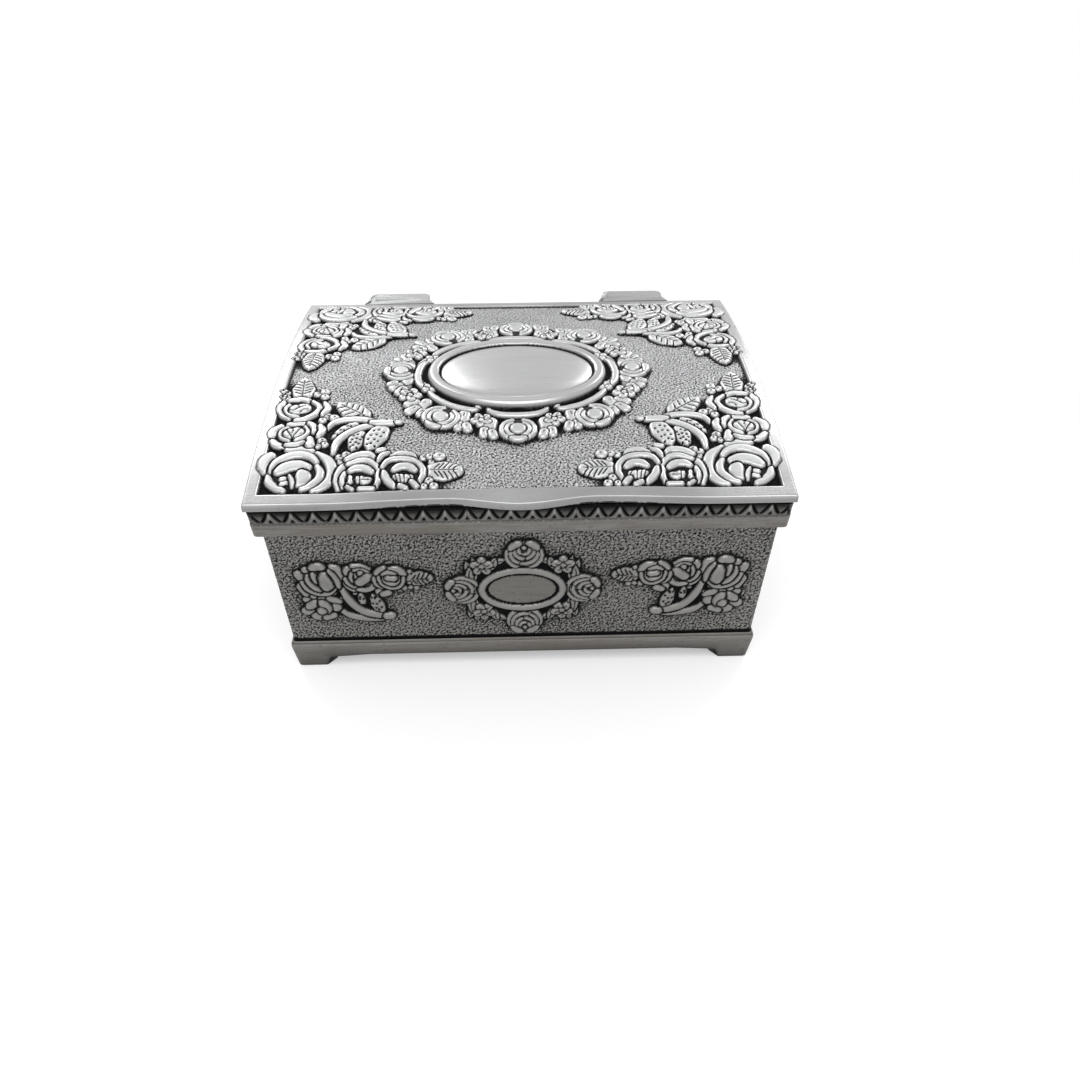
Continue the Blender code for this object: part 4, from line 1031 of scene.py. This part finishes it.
def perimeter(pitch, corner_steps=5):
    """Round the box from the front left: side, place along it, pull on the corner centres, and normal."""
    places = []
    for side, (face_x, face_y) in enumerate(((0, -1), (1, 0), (0, 1), (-1, 0))):
        reach = (LID_HALF_X, LID_HALF_Y)[side % 2] - PERIMETER_INSET - CORNER_RADIUS
        steps = [(share, share * reach, 0) for share in np.linspace(-1, 1, int(2 * reach / pitch) + 1)]
        for step in range(1, corner_steps):
            steps.append((1, reach + CORNER_RADIUS, 90 * step / corner_steps))
        for share, along, turn in steps:
            facing = math.radians(90 * side - 90 + turn)
            pull = (face_x - face_y * share, face_y + face_x * share)
            places.append((side, along, *pull, math.cos(facing), math.sin(facing)))
    return np.array(places)


def outline_at(round_box, inset, bulge):
    """Places round the box at an inset, pushed out along the normal by a bulge."""
    half_x = LID_HALF_X - inset - CORNER_RADIUS
    half_y = LID_HALF_Y - inset - CORNER_RADIUS
    x = round_box[:, 2] * half_x + (CORNER_RADIUS + bulge) * round_box[:, 4]
    y = round_box[:, 3] * half_y + (CORNER_RADIUS + bulge) * round_box[:, 5] + MIDDLE_Y
    return x, y


def side_halves(round_box):
    """Half the lid's length or depth, by the side that each place is on, and which sides are long."""
    long_side = np.isin(round_box[:, 0], (0, 2))
    return np.where(long_side, LID_HALF_X, LID_HALF_Y), long_side


def ringed_casting(name, metal, round_box, rows, capped):
    """A casting from rings round the box: inset, level, bulge, tarnish with any painted shade, and brushed
    share of each. Its ends are capped, or its last ring joins the first."""
    here = np.arange(len(round_box))
    last = (len(rows) - 1) * len(round_box) + here
    quads = grid_quads(len(rows), len(round_box), closed=True)
    if not capped:
        quads = np.concatenate([quads, belt(last, here)[:, [0, 3, 2, 1]]])
    points = []
    for inset, z, bulge, _, _ in rows:
        x, y = outline_at(round_box, inset, bulge)
        points.append(np.stack([x, y, np.broadcast_to(z, x.shape)], -1))
    attributes = {
        "tarnish": np.concatenate([np.broadcast_to(row[3], here.shape) for row in rows]),
        "brushed": np.concatenate([np.broadcast_to(row[4], here.shape) for row in rows]),
    }
    return make_mesh(name, metal, np.vstack(points), quads, [here[::-1], last] if capped else [], attributes)


LONG_WALL_TEETH = 25
SHORT_WALL_TEETH = 20
SHORT_WALL_SHIFT = 11.0  # the sprays stand closer on the short walls


def make_walls(metal):
    """The four walls as one casting: relief and moulding outside, plain and flat inside."""
    round_box = perimeter(WALL_PITCH)
    wall_zs = np.linspace(WALL_FOOT_Z, SHELF_Z - 0.12, int((SHELF_Z - WALL_FOOT_Z) / WALL_PITCH))
    shape = (len(wall_zs), len(round_box))
    grains = stipple(shape, WALL_PITCH * WALL_GRAIN_SHARE, WALL_SEED)
    height = np.zeros(shape)
    flat = np.zeros(shape)
    ink_and_shade = np.zeros(shape)
    for side in range(4):
        straight = np.abs(round_box[:, 4:6]).max(1) > 0.9999
        columns = np.nonzero((round_box[:, 0] == side) & straight)[0]
        relief = Relief(round_box[columns, 1], wall_zs)
        if side % 2:
            wall_spray(relief, SHORT_WALL_SHIFT)
            side_flower(relief)
        else:
            wall_spray(relief, 0.0)
            flat[:, columns] = cartouche(relief)
        height[:, columns] = relief.height
        ink_and_shade[:, columns] = relief.ink_and_shade
    relief.ink_and_shade = ink_and_shade  # from here on the last wall's relief stands for all four
    ground = (height < 0.1).astype(float) * (1 - flat)
    height = np.where(flat > 0, height, blurred(height, 0.6))
    height = height + WALL_GRAIN * np.clip(grains, -2.0, 1.6) * ground
    ground_tone = 0.4 + 0.5 * blurred(grains, 9.0)
    tarnish = tarnish_and_shade_of(relief, height, ground, grains, ground_tone, WALL_SPECKLE)
    tarnish = np.where(flat > 0, CARTOUCHE_TONE, tarnish)
    foot = wall_zs[:, None] - WALL_FOOT_Z
    ragged = 0.65 + 0.25 * blurred(grains, 3.0) * 4
    tarnish = np.maximum(tarnish, smooth_step(ragged + 0.35, ragged - 0.1, foot))
    # painted shade under the band's overhang, mottled by the grains
    under = smooth_step(1.6, 0.2, SHELF_Z - wall_zs[:, None])
    tarnish = np.maximum(tarnish, under * (0.55 + 0.25 * (grains < 0)))
    rows = [(wall_inset(z), z, *row) for z, *row in zip(wall_zs, height, tarnish, flat)]
    rows += [(inset, SHELF_Z, 0, LEDGE_TONE, 0) for inset in (WALL_TOP_INSET, BAND_FOOT_INSET + 0.15)]
    band_zs = np.linspace(SHELF_Z + 0.45, SHELF_Z + BAND_HEIGHT - 0.05, 8)
    rows += [(band_inset(z), z, 0, BAND_TONE, 1) for z in (SHELF_Z + 0.15, *band_zs)]
    half, long_side = side_halves(round_box)
    along = round_box[:, 1] * (half / (half - PERIMETER_INSET))
    pitch = 2 * half / np.where(long_side, LONG_WALL_TEETH, SHORT_WALL_TEETH)
    for z in np.linspace(SHELF_Z + BAND_HEIGHT, BODY_HEIGHT - 0.1, 26):
        bulge, tone = moulding(along, z - SHELF_Z - BAND_HEIGHT, pitch)
        rows.append((tooth_inset(z) + 0.35, z, bulge, tone, 0))
    # painted shade on the moulding's top face, under the lid
    rows.append((MOULDING_TOP_INSET + 0.55, BODY_HEIGHT, 0, CREVICE_PATINA_AND_SHADE_TONE, 0))
    rows.append((WALL_TOP_INSET - 0.33 + WALL_THICKNESS, BODY_HEIGHT, 0, INSIDE_TONE, 0))
    rows.append((WALL_FOOT_INSET + WALL_THICKNESS, WALL_FOOT_Z, 0, INSIDE_TONE, 0))
    obj = ringed_casting("wall_relief_casting", metal, round_box, rows, capped=False)
    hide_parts("wall_casting")
    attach(obj, "box")


def arch_height(from_corner):
    """Underside of the apron at a distance from the box's corner: foot, leaning end, shoulder and arch."""
    shoulder = FOOT_LENGTH + FOOT_STEP
    middle = FOOT_LENGTH + FOOT_STEP / 2
    crown = APRON_CLEARANCE - 0.03
    places = [-9, FOOT_LENGTH, FOOT_LENGTH + 0.05, middle, shoulder, shoulder + SHOULDER_LENGTH, 99]
    return np.interp(from_corner, places, [0, 0, 0.4, APRON_SHOULDER * 0.6, APRON_SHOULDER, crown, crown])


BASE_BEAD = [
    # rise over the plinth's widest line, inset from it, tarnish
    (0.35, -0.1, BAND_TONE), (0.85, -0.12, BAND_TONE), (1.25, 0.0, BAND_TONE), (1.32, 0.22, 0.6),
    (1.75, 0.3, BAND_TONE), (1.95, 0.42, BAND_TONE),
]


def make_base(metal):
    """Plinth, apron and bracket feet, with the floor plate inside, as one casting."""
    round_box = perimeter(BASE_PITCH, corner_steps=7)
    lid_half, _ = side_halves(round_box)
    half = lid_half - BASE_FOOT_INSET
    low = arch_height(half - np.abs(round_box[:, 1] * (half / (lid_half - PERIMETER_INSET))))
    bulge_z = BASE_HEIGHT - BASE_BULGE_DROP
    leg = BASE_FOOT_INSET + FOOT_THICKNESS
    tray = BASE_TOP_INSET + TRAY_LEDGE
    rows = [(leg, APRON_CLEARANCE, LEDGE_TONE), (leg, low, 0.6)]
    # painted shade: the apron darker towards its lower edge, darkest on the edge itself
    for share in (0.0, 0.04, 0.3, 0.6, 0.85, 1.0):
        z = low + (bulge_z - low) * share
        inset = BASE_FOOT_INSET + z / bulge_z * (BASE_BULGE_INSET - BASE_FOOT_INSET)
        rows.append((inset + 0.18 * (share == 0), z, 0.58 - 0.3 * share + 0.3 * (share < 0.03)))
    for rise, inset, tone in BASE_BEAD:
        rows.append((BASE_BULGE_INSET + inset + 0.1, bulge_z + rise, tone))
    rows.append((BASE_TOP_INSET + 0.15, BASE_HEIGHT, 0.9))
    rows += [(tray, BASE_HEIGHT, 0.9), (tray, FLOOR_TOP_Z, 0.5)]
    rows = [(inset, z, 0, tone, float(tone < POLISHED_TONE)) for inset, z, tone in rows]
    obj = ringed_casting("base_plinth_casting", metal, round_box, rows, capped=True)
    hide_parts("base_casting")
    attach(obj, "box")


def hinge_piece(node_name, piece_name, cut_y, body, metal):
    """The part of a casting behind a cut: the lid's lugs or the walls' ears."""
    bm = bmesh.new()
    bm.from_mesh(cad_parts[node_name].data)
    bmesh.ops.remove_doubles(bm, verts=bm.verts, dist=1e-6)
    geometry = [*bm.verts, *bm.edges, *bm.faces]
    plane = {"plane_co": (0, cut_y * MM, 0), "plane_no": (0, -1, 0)}
    cut = bmesh.ops.bisect_plane(bm, geom=geometry, clear_outer=True, **plane)
    edges = [item for item in cut["geom_cut"] if isinstance(item, bmesh.types.BMEdge)]
    bmesh.ops.holes_fill(bm, edges=edges, sides=0)
    bmesh.ops.dissolve_limit(bm, angle_limit=math.radians(1), verts=bm.verts, edges=bm.edges)
    mesh = bpy.data.meshes.new(piece_name)
    bm.to_mesh(mesh)
    bm.free()
    for label, value in (("tarnish", HINGE_TONE), ("brushed", 0.2)):
        layer = mesh.attributes.new(label, "FLOAT", "POINT")
        layer.data.foreach_set("value", np.full(len(mesh.vertices), value, np.float32))
    mesh.materials.append(metal)
    mesh.shade_flat()
    obj = placed(piece_name, mesh)
    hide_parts(node_name)
    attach(obj, body)


# Velvet linings: pile cloth glued flat on its card, with edges rolled under

CARD_STAND_OFF = 1.4  # card and its two joints, between the metal and the cloth
WALL_VELVET = 0.7
VELVET_PITCH = 2.0
FLOOR_VELVET = 1.0
LINING_BELOW_RIM = 1.8
JOINT = 0.3  # glue and slack beside and under a card
EDGE_ROLL = 0.8
LID_LINING_MARGIN = 0.6
FLOOR_CARD = 0.8


def spaced(length):
    """Places along a panel's side, closer together where its edge rolls over."""
    near = np.array([0.0, 0.1, 0.25, 0.5, 0.8])
    count = int((length - 2) / VELVET_PITCH) + 1
    return np.concatenate([near, np.linspace(1.2, length - 1.2, count), (length - near)[::-1]])


def velvet_sheet(name, node, card, body, size, thickness, surface, cloth):
    """A cloth of (width, length) on a card. surface turns (across, along, out) grids into places."""
    width, length = size
    across, along = np.meshgrid(spaced(width), spaced(length))
    edge = np.minimum(np.minimum(across, width - across), np.minimum(along, length - along))
    roll = np.sqrt(1 - (1 - np.clip(edge / EDGE_ROLL, 0, 1)) ** 2)
    nap = 0.03 * np.sin(across * 0.83 + 1.3 * np.sin(along * 0.31)) * np.sin(along * 0.71 + across * 0.13)
    out = thickness * (0.3 + 0.7 * roll) - (0.03 + nap) * roll
    faces = [np.stack(surface(across, along, level), -1).reshape(-1, 3) for level in (out, 0 * out)]
    grid = grid_quads(*across.shape)
    loop = border(*across.shape)
    quads = np.concatenate([grid, grid[:, ::-1] + across.size, belt(loop, loop + across.size)])
    obj = make_mesh(name, cloth, np.vstack(faces), quads)
    bm = bmesh.new()
    bm.from_mesh(obj.data)
    bmesh.ops.recalc_face_normals(bm, faces=bm.faces)
    bm.to_mesh(obj.data)
    bm.free()
    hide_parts(node)
    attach(obj, body)
    width * MM
    length * MM


def make_velvet(cloth):
    foot = FLOOR_TOP_Z + JOINT
    top = BODY_HEIGHT - LINING_BELOW_RIM
    lean = math.hypot(top - foot, wall_inset(foot) - wall_inset(top))
    for side, name in enumerate(("front", "right", "back", "left")):
        half, other = (LID_HALF_Y, LID_HALF_X) if side % 2 else (LID_HALF_X, LID_HALF_Y)
        middle = half - wall_inset((foot + top) / 2) - WALL_THICKNESS - CARD_STAND_OFF - WALL_VELVET - JOINT
        turn = math.radians(-90 + 90 * side)

        def on_wall(across, along, out):
            z = foot + along / lean * (top - foot)
            inset = wall_inset(z) + WALL_THICKNESS + CARD_STAND_OFF
            u = (across / middle - 1) * (half - inset - WALL_VELVET - JOINT)
            stand = other - inset - out
            x = stand * math.cos(turn) - u * math.sin(turn)
            y = stand * math.sin(turn) + u * math.cos(turn)
            return x, y + MIDDLE_Y, z

        names = (f"{name}_velvet", f"{name}_lining_velvet", f"{name}_lining_card")
        velvet_sheet(*names, "box", (2 * middle, lean), WALL_VELVET, on_wall, cloth)
    margin = wall_inset(foot) + WALL_THICKNESS + CARD_STAND_OFF + WALL_VELVET + JOINT
    floor = (2 * (LID_HALF_X - margin), 2 * (LID_HALF_Y - margin))

    def on_floor(across, along, out):
        return across - floor[0] / 2, along - floor[1] / 2 + MIDDLE_Y, foot + FLOOR_CARD + JOINT + out

    names = ("floor_velvet_cloth", "floor_velvet", "floor_card")
    velvet_sheet(*names, "box", floor, FLOOR_VELVET, on_floor, cloth)
    lid = (2 * (LID_HALF_X - LID_SEAT - LID_LINING_MARGIN), 2 * (LID_HALF_Y - LID_SEAT - LID_LINING_MARGIN))

    def under_lid(across, along, out):
        v = along - lid[1] / 2
        z = lid_top_height(v) - FIELD_SINK - LID_PLATE - CARD_STAND_OFF - out
        return across - lid[0] / 2, v + MIDDLE_Y, z

    names = ("lid_velvet_cloth", "lid_lining_velvet", "lid_lining_card")
    velvet_sheet(*names, "lid", lid, WALL_VELVET, under_lid, cloth)


# Camera, fitted to the photograph's edges

SENSOR_WIDTH = 36
VIEW_LENS = 991.5 / 1080 * SENSOR_WIDTH
VIEW_PITCH = math.radians(38.217)
VIEW_YAW = math.radians(1.628)
VIEW_ROLL = math.radians(0.058)
VIEW_PLACE = (-0.94, MIDDLE_Y - LID_HALF_Y - 172.66, 177.63)


def make_camera():
    ahead = Vector(
        (
            math.sin(VIEW_YAW) * math.cos(VIEW_PITCH),
            math.cos(VIEW_YAW) * math.cos(VIEW_PITCH),
            -math.sin(VIEW_PITCH),
        )
    )
    right = Vector((math.cos(VIEW_YAW), -math.sin(VIEW_YAW), 0))
    down = ahead.cross(right)
    across = right * math.cos(VIEW_ROLL) + down * math.sin(VIEW_ROLL)
    under = down * math.cos(VIEW_ROLL) - right * math.sin(VIEW_ROLL)
    turn = Matrix((across, -under, -ahead)).transposed().to_4x4()
    data = bpy.data.cameras.new("photo_view")
    data.sensor_width = SENSOR_WIDTH
    data.sensor_fit = "HORIZONTAL"
    data.lens = VIEW_LENS
    data.clip_start = 0.01
    camera = placed("photo_view", data)
    camera.matrix_world = Matrix.Translation(Vector(VIEW_PLACE) * MM) @ turn
    bpy.context.scene.camera = camera


LAMPS = [
    # name, place, what it is turned to, width and height, power
    ("soft_top", (0.0, -0.4, 0.78), (0, 0, 0.03), (0.8, 0.5), 3.0),
    ("soft_left", (-0.32, 0.6, 0.46), (0, 0, 0.04), (0.36, 0.32), 2.2),
    ("soft_right", (0.38, 0.57, 0.44), (0, 0, 0.04), (0.32, 0.32), 1.9),
]


def area_light(name, place, target, size, power):
    data = bpy.data.lights.new(name, "AREA")
    data.shape = "RECTANGLE"
    data.size, data.size_y = size
    data.energy = power
    lamp = placed(name, data)
    lamp.location = place
    lamp.rotation_euler = (Vector(target) - Vector(place)).to_track_quat("-Z", "Y").to_euler()


def make_stage():
    mesh = bpy.data.meshes.new("studio_floor")
    bm = bmesh.new()
    bmesh.ops.create_grid(bm, x_segments=1, y_segments=1, size=3.0)
    bm.to_mesh(mesh)
    bm.free()
    floor = placed("studio_floor", mesh)
    finish = Finish("white_table")
    mesh.materials.append(finish.set(Base_Color=(0.92, 0.92, 0.92, 1), Roughness=0.9))
    camera, glossy, clear = (
        finish.start.node("LightPath", out=f"Is {kind} Ray") for kind in ("Camera", "Glossy", "Transmission")
    )
    seen = camera + glossy + clear
    away = finish.start.node("VectorMath", {"operation": "LENGTH"}, out="Value", _0=finish.place)
    white = finish.start.node("Emission", Color=(1, 1, 1, 1), Strength=1.0)
    lit = Sock(finish.tree, finish.shader.outputs[0])
    share = seen.clamp() * away.above(0.05, 0.22).between(0.38, 1.0)  # white, but for the box's shadow
    mixed = finish.start.node("MixShader", _0=share, _1=lit, _2=white)
    finish.tree.links.new(mixed.socket, finish.tree.nodes["Material Output"].inputs["Surface"])
    for lamp in LAMPS:
        area_light(*lamp)


def make_world():
    world = bpy.data.worlds.new("studio")
    bpy.context.scene.world = world
    world.use_nodes = True
    sky = world.node_tree.nodes["Background"]
    sky.inputs["Color"].default_value = (1, 1, 1, 1)
    sky.inputs["Strength"].default_value = 1.0


bpy.context.scene.view_settings.view_transform = "Standard"
make_camera()
make_world()
make_stage()

lid_metal = pewter(
    "pewter_lid",
    bright=(0.5, 0.502, 0.505),
    middle=(0.24, 0.242, 0.245),
    warm=(1.0, 0.97, 0.94),
    polish=0.85,
    streak=0.4,
)
# the lid's pewter with darker colours: painted shade on the upright walls and base, besides their own
# rougher, warmer brushing
wall_metal_shaded = pewter(
    "pewter_walls_shaded",
    bright=(0.26, 0.256, 0.247),
    middle=(0.105, 0.1025, 0.098),
    warm=(1.0, 0.93, 0.86),
    polish=0.15,
    streak=0.8,
)
make_lid(lid_metal)
make_walls(wall_metal_shaded)
make_base(wall_metal_shaded)
hinge_piece("lid_casting", "lid_hinge_lugs", MIDDLE_Y + LID_HALF_Y + 0.02, "lid", lid_metal)
hinge_piece("wall_casting", "wall_hinge_ears", MIDDLE_Y + LID_HALF_Y - 0.05, "box", wall_metal_shaded)

make_velvet(velvet_finish())
board = card_finish()
pins = pin_finish()
for name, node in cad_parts.items():
    material = wall_metal_shaded
    if "card" in name:
        material = board
    elif "pin" in name:
        material = pins
    node.data.materials.clear()
    node.data.materials.append(material)
